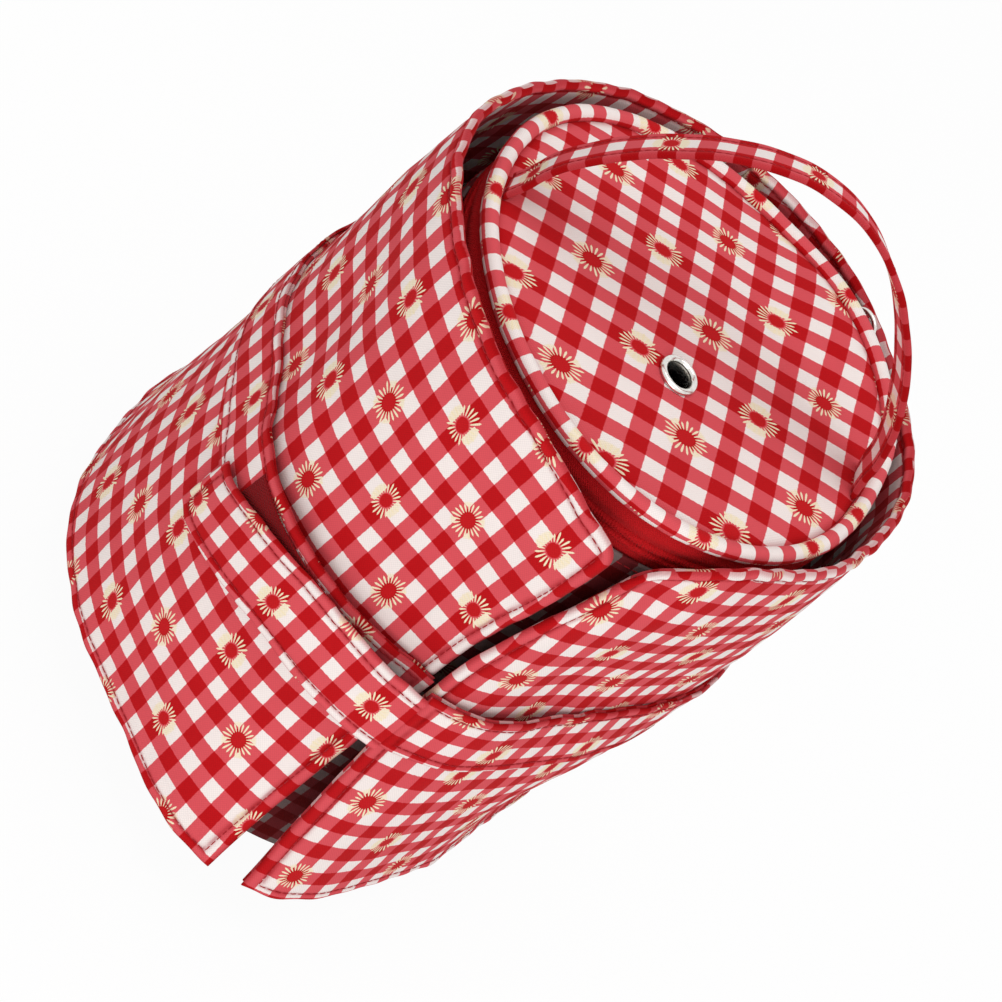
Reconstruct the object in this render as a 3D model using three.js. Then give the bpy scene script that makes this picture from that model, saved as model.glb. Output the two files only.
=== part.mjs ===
// Cylindrical crochet bag with a hook case wrapped round it. Millimetres, +Z up along the bag's axis,
// underside of the base at z = 0, the visible front toward -Y. Angles are degrees from +X.
import * as THREE from 'three';

// Bag
const BAG_R_BASE = 90.5;        // outside of the bag wall at the floor
const BAG_R_TOP = 82.5;         // outside of the bag wall at its upper edge
const BAG_TOP_Z = 219;          // upper edge of the bag wall
const WALL_T = 1.5;             // bag wall, cloth and padding
const LINING_T = 1.0;           // one ply of lining
const BOARD_T = 2.4;            // stiffening board
const CLOTH_T = 1.2;            // one ply of outer cloth
const SEAM_GAP = 0.3;           // between plies that lie on each other

// Zip
const ZIP_RISE = 6;             // meeting line of the coils above the bag wall
const TAPE_T = 1.0;
const TAPE_LAP = 7.2;           // tape sewn behind the wall's edge
const COIL_T = 1.4;
const COIL_H = 1.6;
const SLIDER_AZ = 66;           // slider of the closed zip
const SLIDER_T = 2.2;
const SLIDER_H = 8.1;
const SLIDER_W = 10.4;
const BAIL_OUT = 4.2;           // pull ring's wire outside the coils
const PULL_R = 6.2;             // centre circle of the pull ring
const PULL_WIRE = 0.8;          // radius of its wire
const BAIL_EYE = 1.15;
const BAIL_W = 1.8;

// Lid
const LID_RISE = 13.8;          // lid cloth above the zip
const PIPING_T = 3.4;           // radius of the piping cord
const PIPING_IN = 3.2;          // centre of the cord inside the bag's upper edge
const HINGE_AZ = 122;           // middle of the lid's cloth hinge
const HINGE_HALF = 38;          // half its width
const EYELET = [8.4, -20.9];    // centre of the eyelet on the lid
const EYELET_R = 7.3;
const EYELET_HOLE_R = 4.75;
const BARREL_T = 0.55;

// Handle
const STRAP_W = 15;
const STRAP_T = 2.2;
const STRAP_H = 70;             // top of the arch above the lid
const STRAP_PIVOT = 11.2;       // pivot line above the lid
const STRAP_TILT = 6;           // arch leans this far back from upright
const TAB_LEFT_AZ = -156;
const TAB_RIGHT_AZ = 13;
const TAB_INSET = 2.5;          // tab's leg inside the edge of the lid cloth
const TAB_T = 1.3;

// Case round the bag; heights h are measured up from its hem
const BASE_Z = 24;              // hem above the floor
const CASE_EASE_HEM = 20.9;     // outside of the panel from the bag wall's foot, at the hem
const CASE_EASE_TOP = 9.5;      // and from the wall's upper edge, at the collar
const CASE_TOP = 218.5;         // collar above the hem
const CASE_LINING_T = 1.1;
const POCKET_TOP = 122;         // pocket mouth
const POCKET_OPEN = 4.4;        // how far the mouth stands off the panel near the front
const MOUTH_CASE = [30, 70];    // degrees from the front edge over which the mouth closes
const MOUTH_WING = [12, 40];
const BAND_W = 31;              // band sewn along the mouth
const BAND_T = 1.0;
const CORNER_R = 9;             // rounded collar corners
const WING_AZ = 20;             // fold line of the opening wing
const FOLD_GAP = 0.1;           // half the slit at the fold, degrees
const HUG_AZ = 110;             // where the case is sewn to the bag
const HUG_NEAR = 22;            // half the width that lies on the bag
const HUG_FAR = 62;             // half the width over which it leaves the bag
const HUG_LOW = 168;            // it leaves the bag between these heights
const HUG_HIGH = 198;
const FLARE_H = 85;             // front corners stand out below this height
const FLARE_LEFT = 15;
const FLARE_LEFT_W = 42;        // degrees over which the corner's stand ends
const FLARE_RIGHT = 7.5;
const FLARE_RIGHT_W = 34;
const STAND_OFF = 7;            // wing's front edge outside the other side's
const STAND_W = 26;
const STAND_LOW = 150;          // it closes in between these heights
const STAND_HIGH = 205;
// Swells and hollows of the cloth: azimuth and its half width, height and its half width, how far out
const RELIEF_CASE = [
  [-168, 26, 222, 70, 5],
  [-176, 20, 60, 45, -3.6],
  [-168, 18, 10, 30, -3.2],
  [-142, 15, 125, 60, -5.5],
  [-92, 17, 0, 50, -4.4],
  [-88, 20, 150, 32, -5.5],
  [-64, 17, 205, 55, 9],
];
const RELIEF_WING = [
  [-28, 32, 100, 80, -6],
  [-30, 30, 142, 38, -4.5],
  [-6, 27, 14, 50, -13.8],
  [8, 22, 150, 36, 3.4],
  [28, 14, 222, 30, 2.5],
  [70, 22, 218, 40, 1.5],
];

// Closure belt
const BELT_END = -124;
const BELT_T = 1.4;
const LOOP_T = 0.9;
const HOOK_T = 0.9;
const LOOP_AZ = [-117, -72.5];
const HOOK_AZ = [-119, -98];

// Materials
const paint = (color, roughness, metalness) => new THREE.MeshStandardMaterial({ color, roughness, metalness });
const cloth = paint(0xd8606a, 0.9, 0);
const pipingCloth = paint(0xe08a90, 0.9, 0);
const redCloth = paint(0xb3131b, 0.85, 0);
const liningCloth = paint(0x8f1a20, 0.9, 0);
const loopCloth = paint(0x9a0c12, 1.0, 0);
const coilPlastic = paint(0xc0151d, 0.5, 0);
const board = paint(0xd9d6cf, 0.8, 0);
const nickel = paint(0xc9c9c6, 0.25, 1);

// Heights and radii that follow from the dimensions
const zipZ = BAG_TOP_Z + ZIP_RISE;
const lidZ = zipZ + LID_RISE;
const pipingZ = lidZ - CLOTH_T + 0.4;
const pipingR = BAG_R_TOP - PIPING_IN;
const lidR = pipingR - PIPING_T - SEAM_GAP;
const tapeR = BAG_R_TOP - WALL_T - SEAM_GAP;
const coilR = tapeR + SEAM_GAP + COIL_T;
const bagR = (z) => BAG_R_BASE + (BAG_R_TOP - BAG_R_BASE) * z / BAG_TOP_Z;
const pivotZ = lidZ + STRAP_PIVOT;
const caseHemR = BAG_R_BASE + CASE_EASE_HEM;
const caseTopR = BAG_R_TOP + CASE_EASE_TOP;

const rad = (d) => d * Math.PI / 180;
const clamp = (v, a, b) => Math.min(b, Math.max(a, v));
const lerp = (a, b, t) => a + (b - a) * t;
const smooth = (a, b, v) => {
  const t = clamp((v - a) / (b - a), 0, 1);
  return t * t * (3 - 2 * t);
};
const polar = (r, az, z) => [r * Math.cos(rad(az)), r * Math.sin(rad(az)), z];
const turn = (d) => ((d + 180) % 360 + 360) % 360 - 180;

// Straight runs between points [key, value]
function through(points, v) {
  const i = clamp(points.findIndex((p) => p[0] >= v), 1, points.length - 1);
  const [a, b] = v > points[points.length - 1][0] ? [points.at(-1), points.at(-1)] : [points[i - 1], points[i]];
  return a === b ? a[1] : lerp(a[1], b[1], clamp((v - a[0]) / (b[0] - a[0]), 0, 1));
}

const group = new THREE.Group();
function add(name, geometry, material) {
  const mesh = new THREE.Mesh(geometry, material);
  mesh.name = name;
  group.add(mesh);
}

// Closed solid between an outer and an inner grid of points; a ring joins its two ends
function slab(outer, inner, ns, nt, ring = false) {
  const cols = ring ? ns : ns + 1;
  const pos = [];
  for (const fn of [outer, inner]) {
    for (let i = 0; i < cols; i++) for (let j = 0; j <= nt; j++) pos.push(...fn(i / ns, j / nt));
  }
  const at = (side, i, j) => side * cols * (nt + 1) + (i % cols) * (nt + 1) + j;
  const idx = [];
  const quad = (a, b, c, d) => idx.push(a, b, c, a, c, d);
  for (let i = 0; i < ns; i++) {
    for (let j = 0; j < nt; j++) {
      quad(at(0, i, j), at(0, i + 1, j), at(0, i + 1, j + 1), at(0, i, j + 1));
      quad(at(1, i, j), at(1, i, j + 1), at(1, i + 1, j + 1), at(1, i + 1, j));
    }
    quad(at(0, i, 0), at(1, i, 0), at(1, i + 1, 0), at(0, i + 1, 0));
    quad(at(0, i, nt), at(0, i + 1, nt), at(1, i + 1, nt), at(1, i, nt));
  }
  if (!ring) {
    for (let j = 0; j < nt; j++) {
      quad(at(0, 0, j), at(0, 0, j + 1), at(1, 0, j + 1), at(1, 0, j));
      quad(at(0, ns, j), at(1, ns, j), at(1, ns, j + 1), at(0, ns, j + 1));
    }
  }
  const P = (k) => new THREE.Vector3(...pos.slice(3 * k, 3 * k + 3));
  let volume = 0;
  for (let k = 0; k < idx.length; k += 3) volume += P(idx[k]).dot(P(idx[k + 1]).cross(P(idx[k + 2])));
  if (volume < 0) idx.reverse();
  const g = new THREE.BufferGeometry();
  g.setAttribute('position', new THREE.Float32BufferAttribute(pos, 3));
  g.setIndex(idx);
  g.computeVertexNormals();
  return g;
}

// Ring wall, or part of one; radii are the outside at its lower and upper edge
function wall(az0, az1, z0, z1, r0, r1, t, step = 5) {
  const full = az1 - az0 >= 360;
  const ns = Math.max(2, Math.round((az1 - az0) / step));
  const face = (d) => (s, u) => polar(lerp(r0, r1, u) - d, lerp(az0, az1, s), lerp(z0, z1, u));
  return slab(face(0), face(t), ns, 1, full);
}

// Flat disc with an optional round hole [x, y, r]
function disc(r, z, t, hole) {
  const s = new THREE.Shape();
  s.absarc(0, 0, r, 0, 2 * Math.PI, false);
  if (hole) {
    const h = new THREE.Path();
    h.absarc(...hole, 0, 2 * Math.PI, true);
    s.holes.push(h);
  }
  const g = new THREE.ExtrudeGeometry(s, { depth: t, bevelEnabled: false, curveSegments: 24 });
  g.translate(0, 0, z);
  return g;
}

// Round cord closed into a ring, its circle lying in the plane of the two axes given
function cordRing(R, r, place, seg, sides) {
  const half = (sign) => (s, u) => {
    const a = sign * Math.PI * u;
    return place(R + r * Math.cos(a), 2 * Math.PI * s, r * Math.sin(a));
  };
  return slab(half(1), half(-1), seg, sides / 2, true);
}

// Bag: base layers, wall and lining
const wallGap = WALL_T + SEAM_GAP;
let z = 0;
add('base_panel', disc(BAG_R_BASE - wallGap - 0.4, z, CLOTH_T), cloth);
z += CLOTH_T + SEAM_GAP;
add('base_board', disc(BAG_R_BASE - wallGap - 1.4, z, BOARD_T), board);
z += BOARD_T + SEAM_GAP;
add('base_lining', disc(BAG_R_BASE - wallGap - 1.4, z, LINING_T), liningCloth);
z += LINING_T + SEAM_GAP;
add('bag_wall', wall(0, 360, 0, BAG_TOP_Z, BAG_R_BASE, BAG_R_TOP, WALL_T), cloth);
const tapeLow = BAG_TOP_Z - TAPE_LAP;
add('bag_lining', wall(0, 360, z, tapeLow - SEAM_GAP, bagR(z) - wallGap, bagR(tapeLow - SEAM_GAP) - wallGap,
  LINING_T), liningCloth);

// Zip halves; the cloth hinge fills what they leave open
const zipOpen = HINGE_AZ + HINGE_HALF - 360;
const zipClosed = HINGE_AZ - HINGE_HALF;
const COIL_GAP = 0.2;           // half the gap between the coils
const TAPE_GAP = 0.4;           // half the gap between the tapes
const COIL_INSET = 2;           // coils end this far inside the tapes, degrees
const PIPING_SEAT = PIPING_T + 0.4;
add('zip_tape_lower', wall(zipOpen, zipClosed, tapeLow, zipZ - TAPE_GAP, tapeR, tapeR, TAPE_T), redCloth);
add('zip_tape_upper', wall(zipOpen, zipClosed, zipZ + TAPE_GAP, pipingZ - PIPING_SEAT, tapeR, tapeR, TAPE_T),
  redCloth);
add('zip_coil_lower', wall(zipOpen + COIL_INSET, zipClosed - COIL_INSET, zipZ - COIL_GAP - COIL_H, zipZ - COIL_GAP,
  coilR, coilR, COIL_T), coilPlastic);
add('zip_coil_upper', wall(zipOpen + COIL_INSET, zipClosed - COIL_INSET, zipZ + COIL_GAP, zipZ + COIL_GAP + COIL_H,
  coilR, coilR, COIL_T), coilPlastic);
const hingeR = tapeR - TAPE_T - SEAM_GAP;
const HINGE_SEAT = 2.2;         // strip ends this far under the piping, which swings past it
add('lid_hinge_strip', wall(zipClosed + 1, zipOpen + 359, tapeLow, pipingZ - PIPING_T - HINGE_SEAT, hingeR, hingeR,
  CLOTH_T), cloth);

// Lid layers, all pierced by the eyelet
const hole = [...EYELET, EYELET_HOLE_R + BARREL_T + 0.2];
const lidBoardZ = lidZ - CLOTH_T - SEAM_GAP + 0.1 - BOARD_T;
const lidLiningZ = lidBoardZ - 0.2 - LINING_T;
add('lid_panel', disc(lidR, lidZ - CLOTH_T, CLOTH_T, hole), cloth);
add('lid_board', disc(lidR - 0.6, lidBoardZ, BOARD_T, hole), board);
add('lid_lining', disc(lidR, lidLiningZ, LINING_T, hole), liningCloth);
add('lid_piping', cordRing(pipingR, PIPING_T, (r, a, v) => [r * Math.cos(a), r * Math.sin(a), pipingZ + v], 60, 8),
  pipingCloth);

// Eyelet: rolled flange with its barrel, and the washer it is set against
function lathe(points, sides) {
  const g = new THREE.LatheGeometry(points.map((p) => new THREE.Vector2(...p)), sides);
  g.rotateX(Math.PI / 2);
  g.translate(...EYELET, 0);
  return g;
}
const barrelR = EYELET_HOLE_R + BARREL_T;
const barrelLow = lidLiningZ - 1.0;
const FLANGE_H = 1.5;
const WASHER_T = 0.8;
const seatZ = lidZ + 0.2;
add('eyelet', lathe([[EYELET_HOLE_R, barrelLow], [barrelR, barrelLow], [barrelR, seatZ], [EYELET_R, seatZ],
  [EYELET_R + 0.1, seatZ + 0.25 * FLANGE_H], [EYELET_R - 0.4, seatZ + 0.7 * FLANGE_H],
  [lerp(barrelR, EYELET_R, 0.45), seatZ + FLANGE_H], [barrelR, seatZ + 0.85 * FLANGE_H],
  [EYELET_HOLE_R, seatZ + 0.3 * FLANGE_H], [EYELET_HOLE_R, barrelLow]], 32), nickel);
const washerZ = lidLiningZ - 0.2;
add('eyelet_washer', lathe([[barrelR + 0.1, washerZ - WASHER_T], [EYELET_R, washerZ - WASHER_T], [EYELET_R, washerZ],
  [barrelR + 0.1, washerZ], [barrelR + 0.1, washerZ - WASHER_T]], 32), nickel);

// Handle: one strap between two tabs sewn to the lid
const tabLeft = new THREE.Vector3(...polar(lidR - TAB_INSET, TAB_LEFT_AZ, 0));
const tabRight = new THREE.Vector3(...polar(lidR - TAB_INSET, TAB_RIGHT_AZ, 0));
const chord = tabRight.clone().sub(tabLeft);
const span = chord.length();
chord.normalize();
const UP = new THREE.Vector3(0, 0, 1);
const FOOT = 3.6;               // tab's foot along the chord
function tab(A, dir) {
  const s = new THREE.Shape();
  const foot = lidZ + SEAM_GAP;
  s.moveTo(-TAB_T, foot);
  s.lineTo(FOOT - TAB_T, foot);
  s.lineTo(FOOT - TAB_T, foot + TAB_T);
  s.lineTo(0, foot + TAB_T);
  s.lineTo(0, pivotZ + 3);
  s.lineTo(-TAB_T, pivotZ + 3);
  s.closePath();
  const g = new THREE.ExtrudeGeometry(s, { depth: STRAP_W, bevelEnabled: false });
  g.translate(0, 0, -STRAP_W / 2);
  const x = chord.clone().multiplyScalar(dir);
  g.applyMatrix4(new THREE.Matrix4().makeBasis(x, UP, x.clone().cross(UP)).setPosition(A));
  return g;
}
add('handle_tab_left', tab(tabLeft, 1), cloth);
add('handle_tab_right', tab(tabRight, -1), cloth);

const STRAP_BELOW = 2.5;        // strap's ends below the pivot line
const ARCH_POWER = 1.35;
function strap(seg) {
  const up = new THREE.Vector3(-chord.y, chord.x, 0).multiplyScalar(Math.sin(rad(STRAP_TILT)));
  up.addScaledVector(UP, Math.cos(rad(STRAP_TILT)));
  const across = up.clone().cross(chord);
  const inset = STRAP_T / 2 + SEAM_GAP;
  const rise = STRAP_H - STRAP_PIVOT + STRAP_BELOW;
  const line = (s) => [inset + (span - 2 * inset) * (0.5 - 0.5 * Math.cos(Math.PI * s)),
    rise * Math.sin(Math.PI * clamp(s, 0, 1)) ** ARCH_POWER - STRAP_BELOW];
  const O = tabLeft.clone().setZ(pivotZ);
  const face = (off) => (s, u) => {
    const q = line(s);
    const a = line(Math.max(0, s - 1 / seg));
    const b = line(Math.min(1, s + 1 / seg));
    const l = Math.hypot(b[0] - a[0], b[1] - a[1]);
    const n = s === 0 ? [-1, 0] : s === 1 ? [1, 0] : [-(b[1] - a[1]) / l, (b[0] - a[0]) / l];
    const v = O.clone().addScaledVector(chord, q[0] + n[0] * off).addScaledVector(up, q[1] + n[1] * off);
    v.addScaledVector(across, (u - 0.5) * STRAP_W);
    return v.toArray();
  };
  return slab(face(STRAP_T / 2), face(-STRAP_T / 2), seg, 1);
}
add('handle_strap', strap(32), cloth);

// Slider body outside the coils, drawn as [along the zip, z] and pushed outward
const sliderR = coilR + 0.5;
const half = SLIDER_W / 2;
const body = new THREE.Shape();
const low = zipZ - SLIDER_H / 2;
body.moveTo(-0.8 * half, low);
body.lineTo(0.8 * half, low);
body.lineTo(half, low + 0.35 * SLIDER_H);
body.lineTo(0.85 * half, low + SLIDER_H);
body.lineTo(-0.85 * half, low + SLIDER_H);
body.lineTo(-half, low + 0.35 * SLIDER_H);
const bodyGeometry = new THREE.ExtrudeGeometry(body, { depth: SLIDER_T, bevelEnabled: false });
const X = new THREE.Vector3(1, 0, 0);
const Y = new THREE.Vector3(0, 1, 0);
bodyGeometry.applyMatrix4(new THREE.Matrix4().makeBasis(Y, UP, X));
bodyGeometry.translate(sliderR, 0, 0);
bodyGeometry.rotateZ(rad(SLIDER_AZ));
add('zip_slider', bodyGeometry, nickel);

// Bail: a small plate standing out from the slider, with an eye for the ring; drawn as [r, z]
const ringR = coilR + BAIL_OUT + PULL_WIRE - 0.3;
const eyeZ = low + SLIDER_H + 2.6;
const bailR = BAIL_EYE + 0.6;
const plate = new THREE.Shape();
const bailIn = sliderR + SLIDER_T + 0.15;
plate.moveTo(bailIn, low + 0.6 * SLIDER_H);
plate.lineTo(ringR + 1, low + 0.9 * SLIDER_H);
plate.absarc(ringR, eyeZ, bailR, -0.6, Math.PI, false);
plate.lineTo(bailIn, eyeZ - bailR);
const eye = new THREE.Path();
eye.absarc(ringR, eyeZ, BAIL_EYE, 0, 2 * Math.PI, true);
plate.holes.push(eye);
const bail = new THREE.ExtrudeGeometry(plate, { depth: BAIL_W, bevelEnabled: false, curveSegments: 10 });
bail.applyMatrix4(new THREE.Matrix4().makeBasis(X, UP, Y.clone().negate()));
bail.translate(0, BAIL_W / 2, 0);
bail.rotateZ(rad(SLIDER_AZ));
add('slider_bail', bail, nickel);
const hang = (r, a, v) => [ringR + v, r * Math.sin(a), eyeZ + PULL_R + r * Math.cos(a)];
const pull = cordRing(PULL_R, PULL_WIRE, hang, 24, 6);
pull.rotateZ(rad(SLIDER_AZ));
add('zip_pull', pull, nickel);

// Case surface: outside of the panel. Sewn on at the back, standing free elsewhere, with its swells and hollows.
// side is 'case' or 'wing'; behind the fold the case carries the wing's surface on.
const panelStack = CLOTH_T + SEAM_GAP + CASE_LINING_T;
function caseR(az, h, side) {
  const free = lerp(caseHemR, caseTopR, h / CASE_TOP);
  const sewn = bagR(h + BASE_Z) + panelStack + SEAM_GAP + 0.2;
  const onBag = 1 - smooth(HUG_NEAR, HUG_FAR, Math.abs(turn(az - HUG_AZ)));
  let r = lerp(free, lerp(sewn, free, smooth(HUG_LOW, HUG_HIGH, h)), onBag);
  const behindFold = turn(az) > WING_AZ / 2 && turn(az) < HUG_AZ;
  for (const [middle, wide, height, tall, out] of side === 'wing' || behindFold ? RELIEF_WING : RELIEF_CASE) {
    r += out * Math.exp(-((turn(az - middle) / wide) ** 2) - ((h - height) / tall) ** 2);
  }
  return Math.max(r, sewn);
}
// Free front edges: [share of the case's height, azimuth]
const EDGE_LEFT = [[0, -71], [0.275, -70], [0.38, -69.6], [0.586, -69.9], [0.755, -70.7], [0.915, -70]];
const EDGE_RIGHT = [[0, -64.6], [0.137, -66], [0.275, -67.4], [0.38, -68.4], [0.586, -65.6], [0.755, -62],
  [0.911, -58], [1, -57.5]];
const edgeLeft = (h) => through(EDGE_LEFT, h / CASE_TOP);
const edgeRight = (h) => through(EDGE_RIGHT, h / CASE_TOP);
const nearHem = (h) => clamp(1 - h / FLARE_H, 0, 1) ** 1.3;
const flareLeft = (az, h) => FLARE_LEFT * nearHem(h) * (1 - smooth(0, FLARE_LEFT_W, edgeLeft(h) - az));
const standOff = (az, h) => STAND_OFF * (1 - smooth(0, STAND_W, az - edgeRight(h)))
  * (1 - smooth(STAND_LOW, STAND_HIGH, h));
const flareRight = (az, h) => standOff(az, h)
  + FLARE_RIGHT * nearHem(h) * (1 - smooth(0, FLARE_RIGHT_W, az - edgeRight(h)));

// Layer of the case between two edges; out is its outside from the panel's outside.
// corner is 1 or -1 for the end whose collar corner is rounded.
function layer(side, az0, az1, h0, h1, out, t, flare, ns, nt, corner = 0) {
  const face = (d) => (s, u) => {
    let h = lerp(h0, h1, u);
    const az = lerp(az0(h), az1(h), s);
    const reach = rad(Math.abs(az - (corner > 0 ? az1(h) : az0(h)))) * caseTopR;
    if (corner && reach < CORNER_R) {
      h = Math.min(h, h1 - CORNER_R + Math.sqrt(CORNER_R ** 2 - (CORNER_R - reach) ** 2));
    }
    return polar(caseR(az, h, side) + flare(az, h) + out(az, h, side) - d, az, h + BASE_Z);
  };
  return slab(face(0), face(t), ns, nt);
}
const fold = () => WING_AZ - 360 + FOLD_GAP;
const foldWing = () => WING_AZ - FOLD_GAP;
const onPanel = () => 0;
const underPanel = () => -CLOTH_T - SEAM_GAP;
const mouth = (az, h, side) => 1 - smooth(...(side === 'wing' ? MOUTH_WING : MOUTH_CASE),
  side === 'wing' ? az - edgeRight(h) : edgeLeft(h) - az);
const pocketOut = (az, h, side) => CLOTH_T + SEAM_GAP + POCKET_OPEN * mouth(az, h, side) * smooth(0, POCKET_TOP, h);
const bandOut = (az, h, side) => pocketOut(az, Math.min(h, POCKET_TOP), side) + SEAM_GAP + BAND_T;
const bandLow = POCKET_TOP - BAND_W;
const sides = [
  ['case', fold, edgeLeft, flareLeft, 48, 1],
  ['wing', edgeRight, foldWing, flareRight, 18, -1],
];
for (const [name, from, to, flare, ns, corner] of sides) {
  add(name + '_panel', layer(name, from, to, 0, CASE_TOP, onPanel, CLOTH_T, flare, ns, 12, corner), cloth);
  add(name + '_lining', layer(name, from, to, 0, CASE_TOP, underPanel, CASE_LINING_T, flare, ns, 12, corner), cloth);
  add(name + '_pocket', layer(name, from, to, 0, POCKET_TOP, pocketOut, CLOTH_T, flare, ns, 7), cloth);
  add(name + '_pocket_band', layer(name, from, to, bandLow, POCKET_TOP, bandOut, BAND_T, flare, ns, 3), cloth);
}
const LOOP_LOW = 6;             // loop tape from the band's lower and upper edge
const LOOP_HIGH = 3;
const loopOut = (az, h, side) => bandOut(az, h, side) + SEAM_GAP + LOOP_T;
add('loop_strip', layer('case', () => LOOP_AZ[0], () => LOOP_AZ[1], bandLow + LOOP_LOW, POCKET_TOP - LOOP_HIGH, loopOut,
  LOOP_T, () => 0, 18, 4), loopCloth);

// Closure belt: carries the wing's band across the front slit, dropping and closing in toward its end.
// [azimuth, height over the band's edge as a share of its width] and [azimuth, outside of the belt from the band's]
const BELT_TOP = [[BELT_END, -0.677], [-107, -0.194], [-91, -0.016], [-70, 0]];
const BELT_LOW = [[BELT_END, -0.484], [-96, 0], [-70, 0]];
const BELT_ROOT = -68;          // about where it leaves the wing
const closed = SEAM_GAP + LOOP_T + SEAM_GAP + HOOK_T + SEAM_GAP + BELT_T;
const BELT_TUCK = 0.6;          // belt's end above the band, over its own thickness
const BELT_EASE = 0.4;          // belt lies this much closer before it bends down to the tape
const rootRise = (h) => caseR(BELT_ROOT, h, 'wing') + flareRight(BELT_ROOT, h) - caseR(BELT_ROOT, h, 'case');
const beltRise = (az, h) => through([[BELT_END, SEAM_GAP + BELT_T + BELT_TUCK], [-119.5, closed], [-97.5, closed],
  [-84, rootRise(h) - BELT_EASE], [BELT_ROOT, rootRise(h)]], az);
const beltHeight = (az, u, trim) => lerp(bandLow + BAND_W * through(BELT_LOW, az) + trim,
  POCKET_TOP + BAND_W * through(BELT_TOP, az) - trim, u);
function belt(az0, az1, t, ns) {
  const face = (d) => (s, u) => {
    const h = beltHeight(lerp(az0, BELT_ROOT, s), u, 0);
    const az = lerp(az0, az1(h), s);
    return polar(caseR(az, h, 'case') + bandOut(az, h, 'case') + beltRise(az, h) - d, az, h + BASE_Z);
  };
  return slab(face(0), face(t), ns, 4);
}
const beltRoot = (h) => edgeRight(h) - 2 * FOLD_GAP;
add('closure_belt', belt(BELT_END, beltRoot, BELT_T, 20), cloth);
const HOOK_TRIM = 3;
function hookStrip() {
  const face = (d) => (s, u) => {
    const az = lerp(...HOOK_AZ, s);
    const h = beltHeight(az, u, HOOK_TRIM);
    return polar(caseR(az, h, 'case') + bandOut(az, h, 'case') + closed - BELT_T - SEAM_GAP - d, az, h + BASE_Z);
  };
  return slab(face(0), face(HOOK_T), 8, 4);
}
add('hook_strip', hookStrip(), loopCloth);

export default group;
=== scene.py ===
"""Look of a round crochet bag wrapped by its hook case: red gingham cloth with daisies, a zip lid with an
eyelet, a strap handle and a closing belt. Shapes are worked out in millimetres and written to the meshes in
metres, +Z up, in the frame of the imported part. Azimuths are degrees from +X round the bag's axis, z is the
height above the floor, and h is the height above the hem of the case."""

import math
from collections import namedtuple
from functools import partial

import bpy
import numpy as np
from bpy.props import FloatProperty, FloatVectorProperty, PointerProperty
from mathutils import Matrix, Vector


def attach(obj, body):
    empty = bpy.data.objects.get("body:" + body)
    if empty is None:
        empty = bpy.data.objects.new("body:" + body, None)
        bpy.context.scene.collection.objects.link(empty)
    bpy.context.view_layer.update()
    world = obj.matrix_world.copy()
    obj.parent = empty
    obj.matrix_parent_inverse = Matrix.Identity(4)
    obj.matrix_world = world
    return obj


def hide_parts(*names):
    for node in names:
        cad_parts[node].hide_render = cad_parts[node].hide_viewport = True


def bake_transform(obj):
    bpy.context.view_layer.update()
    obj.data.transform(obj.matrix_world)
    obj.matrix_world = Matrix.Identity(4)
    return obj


bl_info = {
    "name": "Crochet Bag with Hook Case",
    "version": (1, 0, 0),
    "blender": (4, 5, 0),
    "location": "View3D > Sidebar > Hook Case",
    "description": "Cloth, stitching, zip and metal of a round crochet bag wrapped by its hook case",
    "category": "Add Mesh",
}

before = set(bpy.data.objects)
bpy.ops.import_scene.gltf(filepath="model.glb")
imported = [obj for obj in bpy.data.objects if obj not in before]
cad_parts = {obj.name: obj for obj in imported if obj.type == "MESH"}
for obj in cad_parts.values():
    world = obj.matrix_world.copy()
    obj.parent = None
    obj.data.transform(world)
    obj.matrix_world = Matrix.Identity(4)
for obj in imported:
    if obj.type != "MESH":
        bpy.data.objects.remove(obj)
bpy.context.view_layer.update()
MM = 0.001

# Bag and lid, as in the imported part
BAG_R_BASE = 90.5
BAG_R_TOP = 82.5
BAG_TOP_Z = 219.0
WALL_T = 1.5
ZIP_Z = 225.0
TAPE_R = 80.7
TAPE_LOW_Z = 211.8
TAPE_HIGH_Z = 235.2
LID_Z = 238.8
LID_R = 75.6
CORD_R, CORD_T = 79.6, 2.95
# Where the lid's rim isn't round: azimuth and half width in degrees, how far out and how far up
RIM_BUMPS = (
    (62, 24, 0.0, 6.2),
    (36, 16, 4.6, 0.0),
    (163, 28, 3.3, 0.0),
    (-115, 30, -2.0, 0.0),
    (66, 9, -0.6, 0.0),
)
PIPING_Z = 238.0
HINGE_AZ = 122.0
HINGE_HALF = 38.0
HINGE_R, HINGE_TALL = 79.0, 23.6
EYELET = np.array([8.4, -20.9])
EYELET_R = 7.3
EYELET_HOLE_R = 4.75
SLIDER_AZ = 66.0
LID_GRAIN = 27.5
LID_LEAN = 0.064
LID_CHECK_U, LID_CHECK_V = 11.75, 16.03
LID_DAISY = (-16.93, 25.8)
CHECK = 12.7

# Handle
STRAP_W = 15.0
STRAP_T = 2.2
STRAP_H = 71.9
STRAP_SEWN_IN = 2.7
PIVOT_Z = 250.0
STRAP_BELOW = 2.5
STRAP_TILT = 6.0
STRAP_SKEW, STRAP_BULGE = -0.7, -3.7
STRAP_CHECK, STRAP_WHITE = 11.27, 4.98
# Twist of the strap in degrees by the share of its length from its left end
STRAP_TWIST = ((0, 0), (0.2, 2), (0.45, 8), (0.62, 16), (0.8, 23), (0.9, 12), (1.0, 0))
# End of the strap below its pivot: places along the chord and up
STRAP_FOOT = ((-2.0, -13.2), (-1.3, -11.2), (-0.3, -8.6), (0.6, -5.6))
ARCH_POWER = 1.42
TAB_R = 73.1
TAB_LEFT_AZ = -160.0
TAB_RIGHT_AZ = 15.5

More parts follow.
